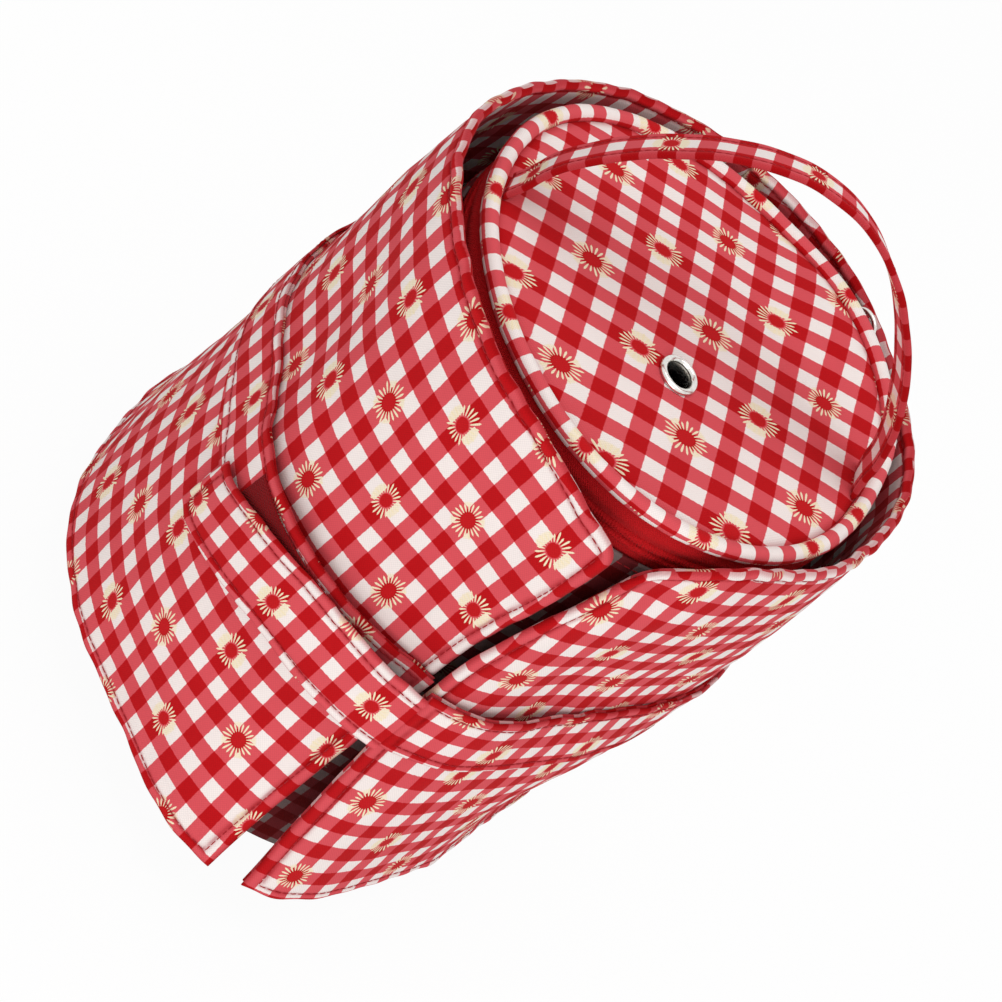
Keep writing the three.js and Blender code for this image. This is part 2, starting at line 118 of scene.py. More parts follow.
# Case round the bag
BASE_Z = 24.0
CASE_R_HEM = 111.4
CASE_R_TOP = 92.0
CASE_TOP = 218.5
CASE_PLIES = 2.6
PLY_T = 1.2
BAND_T = 1.0
POCKET_TOP = 122.0
POCKET_OPEN = 4.4
BAND_LOW = 91.0
BAND_TOP = POCKET_TOP + 0.8
LEFT_BAND_LIFT = 2.5
CORNER_R = 6.0
# How far the upper edge sags at the free corner, in mm, and how many degrees the sag reaches from there
SAG_LEFT = (6.5, 35.0)
SAG_WING = (18.0, 23.0)
SAG_LOW = 130.0
FOLD_AZ = 20.0
BACK_AZ = 110.0
HUG_NEAR, HUG_FAR, HUG_LOW, HUG_HIGH = 22.0, 62.0, 168.0, 198.0
FLARE_H, FLARE_LEFT, FLARE_LEFT_W, FLARE_RIGHT, FLARE_RIGHT_W = 85.0, 15.0, 42.0, 7.5, 34.0
STAND_OFF, STAND_W, STAND_LOW, STAND_HIGH = 7.0, 26.0, 150.0, 205.0
# Free front edges: height and azimuth
EDGE_LEFT = (
    (0, -71), (60, -70), (83, -69.6), (132, -69.5), (148, -69.1), (164, -68.3), (192, -67.8), (206, -67.4),
)
EDGE_RIGHT = (
    (0, -64.6), (30, -66), (60, -67.4), (83, -68.4), (110, -69.0), (136, -69.0),
    (150, -68.5), (163, -66.9), (178, -64.0), (187, -61.4), (196, -59.2), (206, -58.4),
)
# Swells and hollows of the cloth: azimuth and half width in degrees, height and half width, and how far out
RELIEF_LEFT = (
    (-168, 26, 222, 70, 5.0),
    (-176, 20, 60, 45, -3.6),
    (-168, 18, 10, 30, -3.2),
    (-142, 15, 125, 60, -5.5),
    (-92, 17, 0, 50, -4.4),
    (-88, 20, 150, 32, -5.5),
    (-64, 17, 205, 55, 9.0),
)
RELIEF_WING = (
    (-28, 32, 100, 80, -6.0),
    (-30, 30, 142, 38, -4.5),
    (-6, 27, 14, 50, -13.8),
    (8, 22, 150, 36, 3.4),
    (28, 14, 222, 30, 2.5),
    (70, 22, 218, 40, 1.5),
    (-34, 26, 224, 45, -2.4),
    (-53, 5, 195, 8, -1.6),
)
MOUTH_LEFT = (30.0, 70.0)
MOUTH_WING = (12.0, 40.0)
# How much thicker the hems are, in mm
PANEL_SWELL, POCKET_SWELL = 0.55, 0.3

# Closure belt and its tapes
BELT_END = -124.0
BELT_ROOT = -68.0
BELT_T = 1.4
BELT_LONG, BELT_WIDE = 104.0, 31.8
BELT_TOP = ((-124, -21), (-107, -6), (-91, -0.5), (-70, 0))
BELT_LOW = ((-124, -15), (-96, 0), (-70, 0))
BELT_RISE = ((-124, 2.3), (-119.5, 4.1), (-97.5, 4.1), (-84, 5.0), (-68, 5.4))
LOOP_AZ, LOOP_SIZE = (-117.0, -72.5), (78.0, 22.0)
HOOK_AZ, HOOK_SIZE = (-119.0, -98.0), (40.0, 20.0)
TOUCH_T = 0.9
SEAM_GAP = 0.3

# Kinds of unevenness: height, wave length and seed. The case's is all over, in creases and along its edges
CASE_WAVE, CASE_CREASE, CASE_EDGE_WAVE = (0.55, 62, 11), (0.2, 17, 12), (0.45, 13, 13)
GROOVE_WAVE = (0.22, 9, 3)
BELT_WAVE, BELT_EDGE_WAVE = (0.3, 30, 21), (0.25, 9, 22)
LOOP_WAVE = (0.1, 5, 31)
WALL_WAVE, LINING_WAVE = (0.35, 55, 41), (0.3, 14, 42)
LID_PUCKER, LID_WAVE, LID_UNDER_WAVE = (0.16, 6, 51), (0.22, 45, 52), (0.1, 30, 53)
CORD_WAVE, CORD_FINE_WAVE, PIPING_WAVE = (0.025, 16, 54), (0.012, 4.5, 55), (0.18, 40, 56)
TAPE_WAVE, HINGE_WAVE = (0.12, 24, 61), (0.35, 12, 62)
STRAP_WAVE, STRAP_GROOVE_WAVE = (0.18, 18, 71), (0.3, 7, 72)


def smooth(low, high, value):
    """0 below low, 1 above high, and a smooth step between."""
    t = np.clip((value - low) / (high - low), 0, 1)
    return t * t * (3 - 2 * t)


def mix(a, b, t):
    """a at t 0 and b at t 1."""
    return a + (b - a) * t


def through(points, value, spread=12.0):
    """Straight runs between points (key, value), averaged over the spread so that corners are rounded."""
    keys, values = np.array(points, float).T
    near = np.linspace(-spread, spread, 9)
    return sum(np.interp(value + d, keys, values) for d in near) / len(near)


def polar(radius, azimuth, z):
    """Points at a radius and azimuth round the bag's axis, at height z above the floor."""
    a = np.radians(azimuth)
    radius, a, z = np.broadcast_arrays(radius, a, z)
    return np.stack([radius * np.cos(a), radius * np.sin(a), z], -1)


def turn(angle):
    """The same angle between -180 and 180 degrees."""
    return (angle + 180) % 360 - 180


def waver(kind, a, b, count=6):
    """Soft unevenness of a kind: a sum of sine waves over two lengths, each of them about one wave long, that
    stays between about minus and plus the kind's height."""
    high, wave, seed = kind
    draw = np.random.default_rng(seed)
    total = 0.0
    for _ in range(count):
        heading = draw.uniform(0, 2 * np.pi)
        stretch = draw.uniform(0.7, 1.5)
        phase = draw.uniform(0, 2 * np.pi)
        pace = 2 * np.pi / (wave * stretch)
        total = total + np.sin(pace * (a * np.cos(heading) + b * np.sin(heading)) + phase)
    return high * (total / math.sqrt(count * 2))


def unit(vectors):
    """Vectors of length 1 in the same directions."""
    return vectors / np.maximum(np.linalg.norm(vectors, axis=-1, keepdims=True), 1e-12)


def rim_shift(az):
    """How far the lid's rim lies out and up at an azimuth: bell curves round the bag."""
    bells = [np.exp(-(turn(az - middle) / wide) ** 2) for middle, wide, _, _ in RIM_BUMPS]
    return (sum(bell * bump[k] for bell, bump in zip(bells, RIM_BUMPS)) for k in (2, 3))


# Surfaces of the bag and the case
def bag_radius(z):
    """Outside of the bag wall: a straight taper from the floor to its upper edge."""
    return mix(BAG_R_BASE, BAG_R_TOP, z / BAG_TOP_Z)


def case_radius(az, h, side):
    """Outside of the case's panel: a cone, drawn in to the bag round the azimuth where it is sewn on, with
    soft swells and hollows, each a bell curve in azimuth and height."""
    free = mix(CASE_R_HEM, CASE_R_TOP, h / CASE_TOP)
    sewn = bag_radius(h + BASE_Z) + CASE_PLIES + 0.5
    on_bag = 1 - smooth(HUG_NEAR, HUG_FAR, np.abs(turn(az - BACK_AZ)))
    radius = mix(free, mix(sewn, free, smooth(HUG_LOW, HUG_HIGH, h)), on_bag)
    for middle, wide, height, tall, out in SIDES[side].relief:
        radius = radius + out * np.exp(-(turn(az - middle) / wide) ** 2 - ((h - height) / tall) ** 2)
    return np.maximum(radius, sewn)


def edge_left(h):
    """Azimuth of the free front edge of the side that stays on the bag."""
    return through(EDGE_LEFT, h)


def edge_right(h):
    """Azimuth of the wing's free front edge."""
    return through(EDGE_RIGHT, h)


def flare_left(az, h):
    """How far the left front corner stands out: most at the hem, falling off with height and sideways."""
    near_hem = np.clip(1 - h / FLARE_H, 0, 1) ** 1.3
    return FLARE_LEFT * near_hem * (1 - smooth(0, FLARE_LEFT_W, edge_left(h) - az))


def flare_right(az, h):
    """How far the wing's front edge stands out: evenly below its upper part, and more near the hem."""
    near_hem = np.clip(1 - h / FLARE_H, 0, 1) ** 1.3
    inside = az - edge_right(h)
    off = STAND_OFF * (1 - smooth(0, STAND_W, inside)) * (1 - smooth(STAND_LOW, STAND_HIGH, h))
    return off + FLARE_RIGHT * near_hem * (1 - smooth(0, FLARE_RIGHT_W, inside))


def pocket_out(az, h, side):
    """Outside of a pocket from the panel's: its mouth stands open near the front and lies flat elsewhere."""
    near, far = SIDES[side].mouth
    opened = 1 - smooth(near, far, np.abs(az - SIDES[side].edge(h)))
    return PLY_T + SEAM_GAP + POCKET_OPEN * opened * smooth(0, POCKET_TOP, h)


def band_out(az, h, side):
    """Outside of the band along a pocket's mouth, from the panel's outside: one thickness over the pocket."""
    return pocket_out(az, np.minimum(h, POCKET_TOP), side) + SEAM_GAP + BAND_T


CONE_SINE = math.sin(math.atan((CASE_R_HEM - CASE_R_TOP) / CASE_TOP))

# Of each side of the case: its free front edge, flare, azimuth of the sewn join at the back, azimuth where
# the grain stands upright, relief, mouth of the pocket and sag
Side = namedtuple("Side", "edge flare back straight relief mouth sag")
SIDES = {
    "left": Side(edge_left, flare_left, BACK_AZ - 360, -70.0, RELIEF_LEFT, MOUTH_LEFT, SAG_LEFT),
    "wing": Side(edge_right, flare_right, BACK_AZ, -62.0, RELIEF_WING, MOUTH_WING, SAG_WING),
}

# Where the print lies on each piece: place of a daisy in mm on the flat cut, size of a check, lean of the
# grain, and how the grain bows toward the back
Print = namedtuple("Print", "u v check_u check_v lean bow")
PRINTS = {
    "left_panel": Print(-53.3, 197.0, 11.2, 14.5, 0.017, 0.0007),
    "left_pocket": Print(-47.9, 69.3, 11.1, 15.4, 0.04, 0.00133),
    "left_band": Print(-27.0, 117.6, 11.1, 13.6, 0.0, 0.0),
    "wing_panel": Print(25.6, 163.0, 10.4, 14.0, 0.0, 0.0),
    "wing_pocket": Print(22.5, 87.0, 10.5, 16.2, 0.06, 0.0),
    "wing_band": Print(23.6, 103.5, 10.9, 13.6, 0.0, 0.0),
    "belt": Print(-22.4, 106.7, 10.3, 13.6, 0.0, 0.0),
}
# How far the print of the panels' inner ply lies from that of the outer ply, in checks
INNER_SHIFT = (0.4, -0.25)


def printed(u, v, piece):
    """Place on the print in checks, from a place on the cut cloth in mm. A daisy's middle is at (0.5, 0)."""
    lay = PRINTS[piece]
    across = (u + lay.lean * (v - lay.v) - lay.u) / lay.check_u + 0.5
    bowed = lay.bow * np.minimum(u - lay.u, 0) ** 2
    return np.stack([across, (v - lay.v - bowed) / lay.check_v], -1)


def cone_cloth(az, h, side, piece):
    """Place on the print of the case's cloth: the cone rolled out flat, its grain upright near the front."""
    slant = mix(CASE_R_HEM, CASE_R_TOP, h / CASE_TOP) / CONE_SINE
    roll = np.radians(az - SIDES[side].straight) * CONE_SINE
    return printed(slant * np.sin(roll), CASE_R_HEM / CONE_SINE - slant * np.cos(roll), piece)


# Meshes from grids of points
EDGE_LINES = (0, 0.06, 0.2, 0.42, 0.7, 1.05, 1.5, 2.1, 2.7, 3.2, 3.6, 3.95, 4.3, 4.7, 5.2, 6.0, 7.4)
STITCH_IN = 3.95
STITCH_LINE = EDGE_LINES.index(STITCH_IN)
GROOVE_WIDE, GROOVE_DEEP = 0.75, 0.42
HEM_AT, HEM_WIDE = 1.9, 1.5
# Painted shade along a folded edge: how dark it is, and how far that reaches
EDGE_SHADE_DEPTH, EDGE_REACH = 0.75, 0.9
SHARP_ANGLE = 62


def lines(length, step, first=True, last=True):
    """Places of grid lines along a length, close together near the ends that are stitched."""
    start = np.array(EDGE_LINES if first else (0.0,))
    end = length - np.array(EDGE_LINES if last else (0.0,))[::-1]
    count = max(2, int(round((end[0] - start[-1]) / step)) + 1)
    return np.concatenate([start, np.linspace(start[-1], end[0], count)[1:-1], end])


def lattice(cols, rows, wrap_cols=False, wrap_rows=False):
    """Quads of a grid of points, and the same corners counted on a grid whose ends don't meet."""
    i, j = np.meshgrid(np.arange(cols - (not wrap_cols)), np.arange(rows - (not wrap_rows)), indexing="ij")
    i, j = i.ravel(), j.ravel()
    corner_i, corner_j = np.stack([i, i + 1, i + 1, i], 1), np.stack([j, j, j + 1, j + 1], 1)
    return (corner_i % cols) * rows + corner_j % rows, corner_i * (rows + wrap_rows) + corner_j


def make_piece(name, points, faces, corner_uv, material, seam=None):
    """Mesh object from points in mm, faces as arrays of corners, and each corner's place on the cloth map.
    Where the first faces enclose a negative volume about the origin, all faces are turned over."""
    flat = points[faces[0]]
    volume = np.einsum("ij,ij->i", flat[:, 0], np.cross(flat[:, 1], flat[:, 2])).sum()
    if flat.shape[1] == 4:
        volume += np.einsum("ij,ij->i", flat[:, 0], np.cross(flat[:, 2], flat[:, 3])).sum()
    if volume < 0:
        faces = [f[:, ::-1] for f in faces]
        corner_uv = [u[:, ::-1] for u in corner_uv]
    used, back = np.unique(np.concatenate([f.ravel() for f in faces]), return_inverse=True)
    counts = np.concatenate([np.full(len(f), f.shape[1]) for f in faces])
    place = np.concatenate([u.reshape(-1, 2) for u in corner_uv])
    mesh = bpy.data.meshes.new(name)
    mesh.vertices.add(len(used))
    mesh.vertices.foreach_set("co", (points[used] * MM).astype(np.float32).ravel())
    mesh.loops.add(len(back))
    mesh.loops.foreach_set("vertex_index", back.astype(np.int32))
    mesh.polygons.add(len(counts))
    mesh.polygons.foreach_set("loop_start", (np.cumsum(counts) - counts).astype(np.int32))
    mesh.update(calc_edges=True)
    mesh.uv_layers.new(name="Cloth").data.foreach_set("uv", place.astype(np.float32).ravel())
    # The painted shade of each point, 0 to 1, goes on the mesh for the print's material.
    if seam is not None:
        mesh.attributes.new("seam", "FLOAT", "POINT").data.foreach_set("value", seam[used].astype(np.float32))
    mesh.shade_smooth()
    mesh.set_sharp_from_angle(angle=math.radians(SHARP_ANGLE))
    mesh.materials.append(material)
    piece = bpy.data.objects.new(name, mesh)
    bpy.context.scene.collection.objects.link(piece)
    return piece


def sheet_normals(middle, wrap=False):
    """Unit normals of a grid of points: the cross product of its two directions."""
    along = np.roll(middle, -1, 0) - np.roll(middle, 1, 0) if wrap else np.gradient(middle, axis=0)
    return unit(np.cross(along, np.gradient(middle, axis=1)))


def closed_sheet(name, middle, half, uv, material, wrap=False, seam=None, inner_shift=(0.0, 0.0)):
    """Closed cloth: every point of the middle surface goes out and in along its normal by half the thickness.
    Where the thickness is nothing the two faces share their edge, and elsewhere a rim joins them. The print
    of the face on the bag's side lies shifted by inner_shift."""
    cols, rows = half.shape
    total = cols * rows
    normal = sheet_normals(middle, wrap)
    points = np.concatenate([(middle + s * normal * half[..., None]).reshape(-1, 3) for s in (1, -1)])
    quads, flat = lattice(cols, rows, wrap)
    place = uv.reshape(-1, 2)
    faces, corner_uv = [quads, (quads + total)[:, ::-1]], [place[flat], place[flat[:, ::-1]]]
    first_inside = (normal[..., :2] * middle[..., :2]).sum() < 0
    inner = 0 if first_inside else 1
    corner_uv[inner] = corner_uv[inner] + np.array(inner_shift)

    grid = np.arange(total).reshape(cols, rows)
    last = np.roll(grid, -1, 0) if wrap else grid[1:]
    first = grid if wrap else grid[:-1]
    rims = [(first[:, 0], last[:, 0], 1), (first[:, -1], last[:, -1], -1)]
    if not wrap:
        rims += [(grid[0, :-1], grid[0, 1:], -1), (grid[-1, :-1], grid[-1, 1:], 1)]
    for a, b, way in rims:
        rim_faces = np.stack([a, a + total, b + total, b], 1)[:, ::way]
        faces.append(rim_faces)
        corner_uv.append(place[rim_faces % total])

    shared = np.arange(2 * total)
    shared[total:] -= total * (half.ravel() < 1e-6)
    solid_faces, solid_uv = [], []
    for f, u in zip(faces, corner_uv):
        f = shared[f]
        apart = f != np.roll(f, 1, 1)
        sides = apart.sum(1)
        solid_faces.append(f[sides == 4])
        solid_uv.append(u[sides == 4])
        if (sides == 3).any():
            keep = apart[sides == 3]
            solid_faces.append(f[sides == 3][keep].reshape(-1, 3))
            solid_uv.append(u[sides == 3][keep].reshape(-1, 3, 2))
    if seam is not None:
        seam = np.tile(seam.ravel(), 2)
    return make_piece(name, points, solid_faces, solid_uv, material, seam)


def no_print(faces):
    """The same place on the cloth map for every corner, for pieces too small to show a weave."""
    return [np.zeros(f.shape + (2,)) for f in faces]


def closed_tube(name, rings, material, uv=None):
    """Solid whose cross-section is a closed loop carried round a closed path: points[along, round].
    With no uv every corner has the same place on the cloth map."""
    quads, flat = lattice(*rings.shape[:2], True, True)
    if uv is None:
        return make_piece(name, rings.reshape(-1, 3), [quads], no_print([quads]), material)
    return make_piece(name, rings.reshape(-1, 3), [quads], [uv.reshape(-1, 2)[flat]], material)


def rim(distance, half):
    """Share of the full thickness at a distance from a rounded edge: a quarter circle."""
    t = np.clip(1 - distance / half, 0, 1)
    return np.sqrt(1 - t * t)


def groove(distance, along):
    """Depth of a stitched groove, 0 to 1: a bell curve about the stitch line, uneven along it."""
    uneven = 0.8 + 0.2 * np.cos(2 * np.pi * along / STITCH_PITCH) + waver(GROOVE_WAVE, along, 0 * along)
    return np.exp(-(((distance - STITCH_IN) / GROOVE_WIDE) ** 2)) * uneven


def hem(free, thick, swell, cut, round_r):
    """Half the thickness of a hemmed cloth: it swells in a bell curve between its rounded edge and the
    stitched groove, which is cut into it."""
    swollen = thick / 2 + swell * np.exp(-((free - HEM_AT) / HEM_WIDE) ** 2)
    return swollen * (1 - GROOVE_DEEP * cut) * rim(free, round_r)


def edge_shade(distance):
    """Painted shade along a folded edge, 0 to 1: a bell curve of the distance from it."""
    return EDGE_SHADE_DEPTH * np.exp(-((distance / EDGE_REACH) ** 2))


# Stitches
STITCH_PITCH, STITCH_LONG, THREAD_R = 3.1, 2.5, 0.2
STRAP_STITCHES = (2.7, 2.1, 0.22)
ROD_SIDES = 5
ROD_ALONG = (-0.5, -0.38, 0.0, 0.38, 0.5)
ROD_THICK = (0.25, 0.9, 1.0, 0.9, 0.25)
ROD_LIFT = (-0.55, 0.1, 0.3, 0.1, -0.55)


def cloth_faces(middle, half, lift=0.08):
    """Both faces of a sheet round the bag, lifted a little, each with its normals: 1 is the outer and -1 the
    inner face."""
    normal = sheet_normals(middle)
    outward = np.sign((normal[..., :2] * middle[..., :2]).sum(-1).mean())
    return {
        way: (middle + way * outward * normal * (half[..., None] + lift), way * outward * normal)
        for way in (1, -1)}


def stitch_run(face, *index):
    """Stitch line along a row or column of a face: its points and normals."""
    return face[0][index], face[1][index]


def on_line(gone, values, stops):
    """Values carried along a line, read at some lengths from its start."""
    return np.stack([np.interp(stops, gone, values[:, k]) for k in range(3)], 1)


def stitch_rows(name, runs, material, pitch=STITCH_PITCH, length=STITCH_LONG, radius=THREAD_R):
    """Rows of thread dashes: each is a short rod of five sides whose ends dip into the cloth.
    A run is (points, normals) along a stitch line, and the dashes are placed at equal steps of its length."""
    across = np.radians(np.arange(ROD_SIDES) * 360 / ROD_SIDES)
    along, thick, lift = np.array(ROD_ALONG), np.array(ROD_THICK), np.array(ROD_LIFT)
    all_points, count = [], 0
    for points, normals in runs:
        gone = np.concatenate([[0], np.cumsum(np.linalg.norm(np.diff(points, axis=0), axis=1))])
        stops = np.arange(pitch * 0.6, gone[-1] - pitch * 0.5, pitch)
        if not len(stops):
            continue
        forward = unit(on_line(gone, points, stops + length / 2) - on_line(gone, points, stops - length / 2))
        up = on_line(gone, normals, stops)
        up = unit(up - (up * forward).sum(1, keepdims=True) * forward)
        side = np.cross(forward, up)
        rods = on_line(gone, points, stops)[:, None, None]
        rods = rods + forward[:, None, None] * (along * length)[None, :, None, None]
        rods = rods + up[:, None, None] * (lift * radius)[None, :, None, None]
        ring = side[:, None, None] * np.cos(across)[None, None, :, None]
        ring = ring + up[:, None, None] * np.sin(across)[None, None, :, None]
        rods = rods + ring * (thick * radius)[None, :, None, None]
        all_points.append(rods.reshape(-1, 3))
        count += len(stops)
    rings = len(ROD_ALONG)
    quads, _ = lattice(rings, ROD_SIDES, False, True)
    base = (np.arange(count) * rings * ROD_SIDES)[:, None, None]
    ends = np.stack([np.arange(ROD_SIDES)[::-1], (rings - 1) * ROD_SIDES + np.arange(ROD_SIDES)])
    faces = [(base + quads[None]).reshape(-1, 4), (base + ends[None]).reshape(-1, ROD_SIDES)]
    return make_piece(name, np.concatenate(all_points), faces, no_print(faces), material)


def fit(piece, body, slot, *nodes):
    """A piece rides on a body, and stands for the CAD nodes it replaces. The slot is not used."""
    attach(piece, body)
    if nodes:
        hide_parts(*nodes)


# Materials
PRINT_NAME = "Gingham Print"
# Half of a stripe in checks, from where it starts to fade to where it has
STRIPE_EDGE = (0.238, 0.262)
PETAL_START, DISC_EDGE = (0.39, 0.45), (0.34, 0.39)
BACKING_EDGE = (0.86, 0.98)
PETAL_WIDE = 0.165


def new_material(name):
    """Material with a Principled surface; returns it with its tree and shader."""
    material = bpy.data.materials.new(name)
    material.use_nodes = True
    tree = material.node_tree
    return material, tree, tree.nodes["Principled BSDF"]


def feed(tree, socket, value):
    """Puts a value on an input, or links an output to it."""
    if isinstance(value, bpy.types.NodeSocket):
        tree.links.new(value, socket)
    else:
        socket.default_value = value


def add_node(tree, kind, sockets=(), **settings):
    """Node of a kind with settings; sockets are (input, value or output to link)."""
    made = tree.nodes.new(kind)
    for key, value in settings.items():
        setattr(made, key, value)
    for key, value in sockets:
        feed(tree, made.inputs[key], value)
    return made


def calc(tree, operation, *values):
    """Output of a Math node."""
    return add_node(tree, "ShaderNodeMath", enumerate(values), operation=operation).outputs[0]


def sums(tree):
    """Short names for the Math nodes of a tree: plus, minus, times, and times and plus in one."""
    return (partial(calc, tree, kind) for kind in ("ADD", "SUBTRACT", "MULTIPLY", "MULTIPLY_ADD"))


def vector(tree, operation, *values):
    """Vector Math node."""
    return add_node(tree, "ShaderNodeVectorMath", enumerate(values), operation=operation)


def noise(tree, place, scale, detail=2.0):
    """Height of soft noise at a place."""
    sockets = [("Vector", place), ("Scale", scale), ("Detail", detail)]
    return add_node(tree, "ShaderNodeTexNoise", sockets).outputs[0]


def ramp(tree, low, high, value):
    """Smooth step of a value from 0 at low to 1 at high."""
    sockets = [("Value", value), ("From Min", low), ("From Max", high)]
    return add_node(tree, "ShaderNodeMapRange", sockets, interpolation_type="SMOOTHSTEP").outputs["Result"]


def blend_colour(tree, amount, first, second, mode="MIX"):
    """Colour mixed from two by an amount."""
    sockets = [(0, amount), (6, first), (7, second)]
    return add_node(tree, "ShaderNodeMix", sockets, data_type="RGBA", blend_type=mode).outputs[2]


def grey(tree, value):
    """Colour with a value on all three channels."""
    return add_node(tree, "ShaderNodeCombineColor", [(k, value) for k in range(3)]).outputs[0]


def colour_steps(tree, value, *stops):
    """Colours at places between 0 and 1, mixed by a value."""
    made = add_node(tree, "ShaderNodeValToRGB", [("Fac", value)])
    elements = made.color_ramp.elements
    (elements[0].position, elements[0].color), (elements[1].position, elements[1].color) = stops[0], stops[-1]
    for place, colour in stops[1:-1]:
        elements.new(place).color = colour
    return made.outputs[0]


def cloth_map(tree):
    """The piece's own cloth map."""
    return add_node(tree, "ShaderNodeUVMap", uv_map="Cloth").outputs[0]


def bump(tree, height, strength, distance, *normal):
    """Normal bent by a height, over another normal if one is given."""
    sockets = [("Height", height), ("Strength", strength), ("Distance", distance)]
    return add_node(tree, "ShaderNodeBump", sockets + [("Normal", n) for n in normal]).outputs[0]


def weave_checks(tree, cloth, look):
    """Checks of three tones: stripes half a check wide both ways, their soft edges wandering with the grain.
    Returns the colour, the share of stripes at a point, the weave, the grain and the tint of the yarns."""
    plus, minus, times, times_plus = sums(tree)
    grain = noise(tree, cloth, 11.0)
    wobble = times(minus(grain, 0.5), 0.04)
    place = add_node(tree, "ShaderNodeSeparateXYZ", [("Vector", cloth)])
    stripes, yarns = [], []
    for axis in (0, 1):
        across = calc(tree, "FRACT", plus(place.outputs[axis], wobble))
        stripes.append(minus(1.0, ramp(tree, *STRIPE_EDGE, calc(tree, "ABSOLUTE", minus(across, 0.5)))))
        yarns.append(calc(tree, "SINE", times(place.outputs[axis], math.pi * look.yarns)))
    amount = times(plus(*stripes), 0.5)
    colour = colour_steps(tree, amount, (0.0, look.white), (0.5, look.middle), (1.0, look.dark))
    weave = times(*yarns)
    tint = times_plus(times(weave, plus(0.5, grain)), 0.07, 1.0)
    tint = times(tint, times_plus(noise(tree, cloth, 0.45, 3.0), 0.12, 0.94))
    return colour, amount, weave, grain, tint


def nearest_daisy(tree, cloth, look):
    """Way and distance to the nearer of the two daisies of the half-drop repeat, and two random numbers that
    are the same all over that daisy."""
    half = (look.repeat_u / 2, look.repeat_v / 2, 1.0)
    ways, lengths = [], []
    for shift in ((-0.5, 0.0, 0.0), (half[0] - 0.5, half[1], 0.0)):
        moved = vector(tree, "ADD", cloth, shift).outputs[0]
        ways.append(vector(tree, "WRAP", moved, half, (-half[0], -half[1], 0)).outputs[0])
        lengths.append(vector(tree, "LENGTH", ways[-1]).outputs["Value"])
    second = calc(tree, "LESS_THAN", lengths[1], lengths[0])
    sockets = [(0, second), (4, ways[0]), (5, ways[1])]
    way = add_node(tree, "ShaderNodeMix", sockets, data_type="VECTOR").outputs[1]
    cell = vector(tree, "SUBTRACT", cloth, way).outputs[0]
    cell = vector(tree, "MULTIPLY_ADD", cell, (4.0, 4.0, 0.0), (0.5, 0.5, 0.0)).outputs[0]
    cell = vector(tree, "FLOOR", cell).outputs[0]
    chance = add_node(tree, "ShaderNodeTexWhiteNoise", [("Vector", cell)], noise_dimensions="3D")
    chance = add_node(tree, "ShaderNodeSeparateColor", [("Color", chance.outputs["Color"])])
    return way, calc(tree, "MINIMUM", *lengths), chance.outputs


def print_daisies(tree, cloth, look, colour, amount):
    """Daisies over the checks: thin petals of uneven length round a disc, and a pale backing where they lie
    on a white square. A petal is the part of its sector that lies within a width of the sector's middle
    line."""
    plus, minus, times, times_plus = sums(tree)
    way, radius, chance = nearest_daisy(tree, cloth, look)
    side = add_node(tree, "ShaderNodeSeparateXYZ", [("Vector", way)])
    reach = calc(tree, "DIVIDE", radius, times(look.daisy_r, times_plus(chance[1], 0.12, 0.94)))
    angle = plus(calc(tree, "ARCTAN2", side.outputs[1], side.outputs[0]), times(chance[0], 6.0))
    petal = times(angle, look.petals / (2 * math.pi))
    sector = [("W", calc(tree, "FLOOR", petal))]
    which = add_node(tree, "ShaderNodeTexWhiteNoise", sector, noise_dimensions="1D").outputs["Value"]
    tip = times_plus(which, 0.2, 0.84)
    aside = times(calc(tree, "ABSOLUTE", minus(calc(tree, "FRACT", petal), 0.5)), reach)
    width = times(ramp(tree, 0.2, 0.75, reach), PETAL_WIDE)
    width = times(width, minus(1.0, ramp(tree, minus(tip, 0.14), tip, reach)))
    petals = ramp(tree, 0.0, 0.05, minus(plus(width, 0.02), aside))
    petals = times(petals, times(ramp(tree, *PETAL_START, reach), calc(tree, "LESS_THAN", reach, tip)))
    inside = minus(1.0, ramp(tree, *BACKING_EDGE, reach))
    on_white = times(inside, minus(1.0, ramp(tree, 0.1, 0.4, amount)))
    uneven = plus(reach, times(minus(which, 0.5), 0.04))
    disc = minus(1.0, ramp(tree, *DISC_EDGE, uneven))
    colour = blend_colour(tree, times(on_white, 0.7), colour, look.petal)
    colour = blend_colour(tree, petals, colour, look.petal)
    return blend_colour(tree, disc, colour, look.disc)


def gingham_group(look):
    """Node group of the printed cloth: checks, daisies and the weave, as a colour and a height."""
    tree = bpy.data.node_groups.new(PRINT_NAME, "ShaderNodeTree")
    tree.interface.new_socket("Cloth", in_out="INPUT", socket_type="NodeSocketVector")
    tree.interface.new_socket("Color", in_out="OUTPUT", socket_type="NodeSocketColor")
    tree.interface.new_socket("Height", in_out="OUTPUT", socket_type="NodeSocketFloat")
    cloth = add_node(tree, "NodeGroupInput").outputs["Cloth"]
    colour, amount, weave, grain, tint = weave_checks(tree, cloth, look)
    colour = print_daisies(tree, cloth, look, colour, amount)
    colour = blend_colour(tree, 1.0, colour, grey(tree, tint), "MULTIPLY")
    height = calc(tree, "MULTIPLY_ADD", weave, 0.5, calc(tree, "MULTIPLY", grain, 0.6))
    add_node(tree, "NodeGroupOutput", [("Color", colour), ("Height", height)])
    return tree


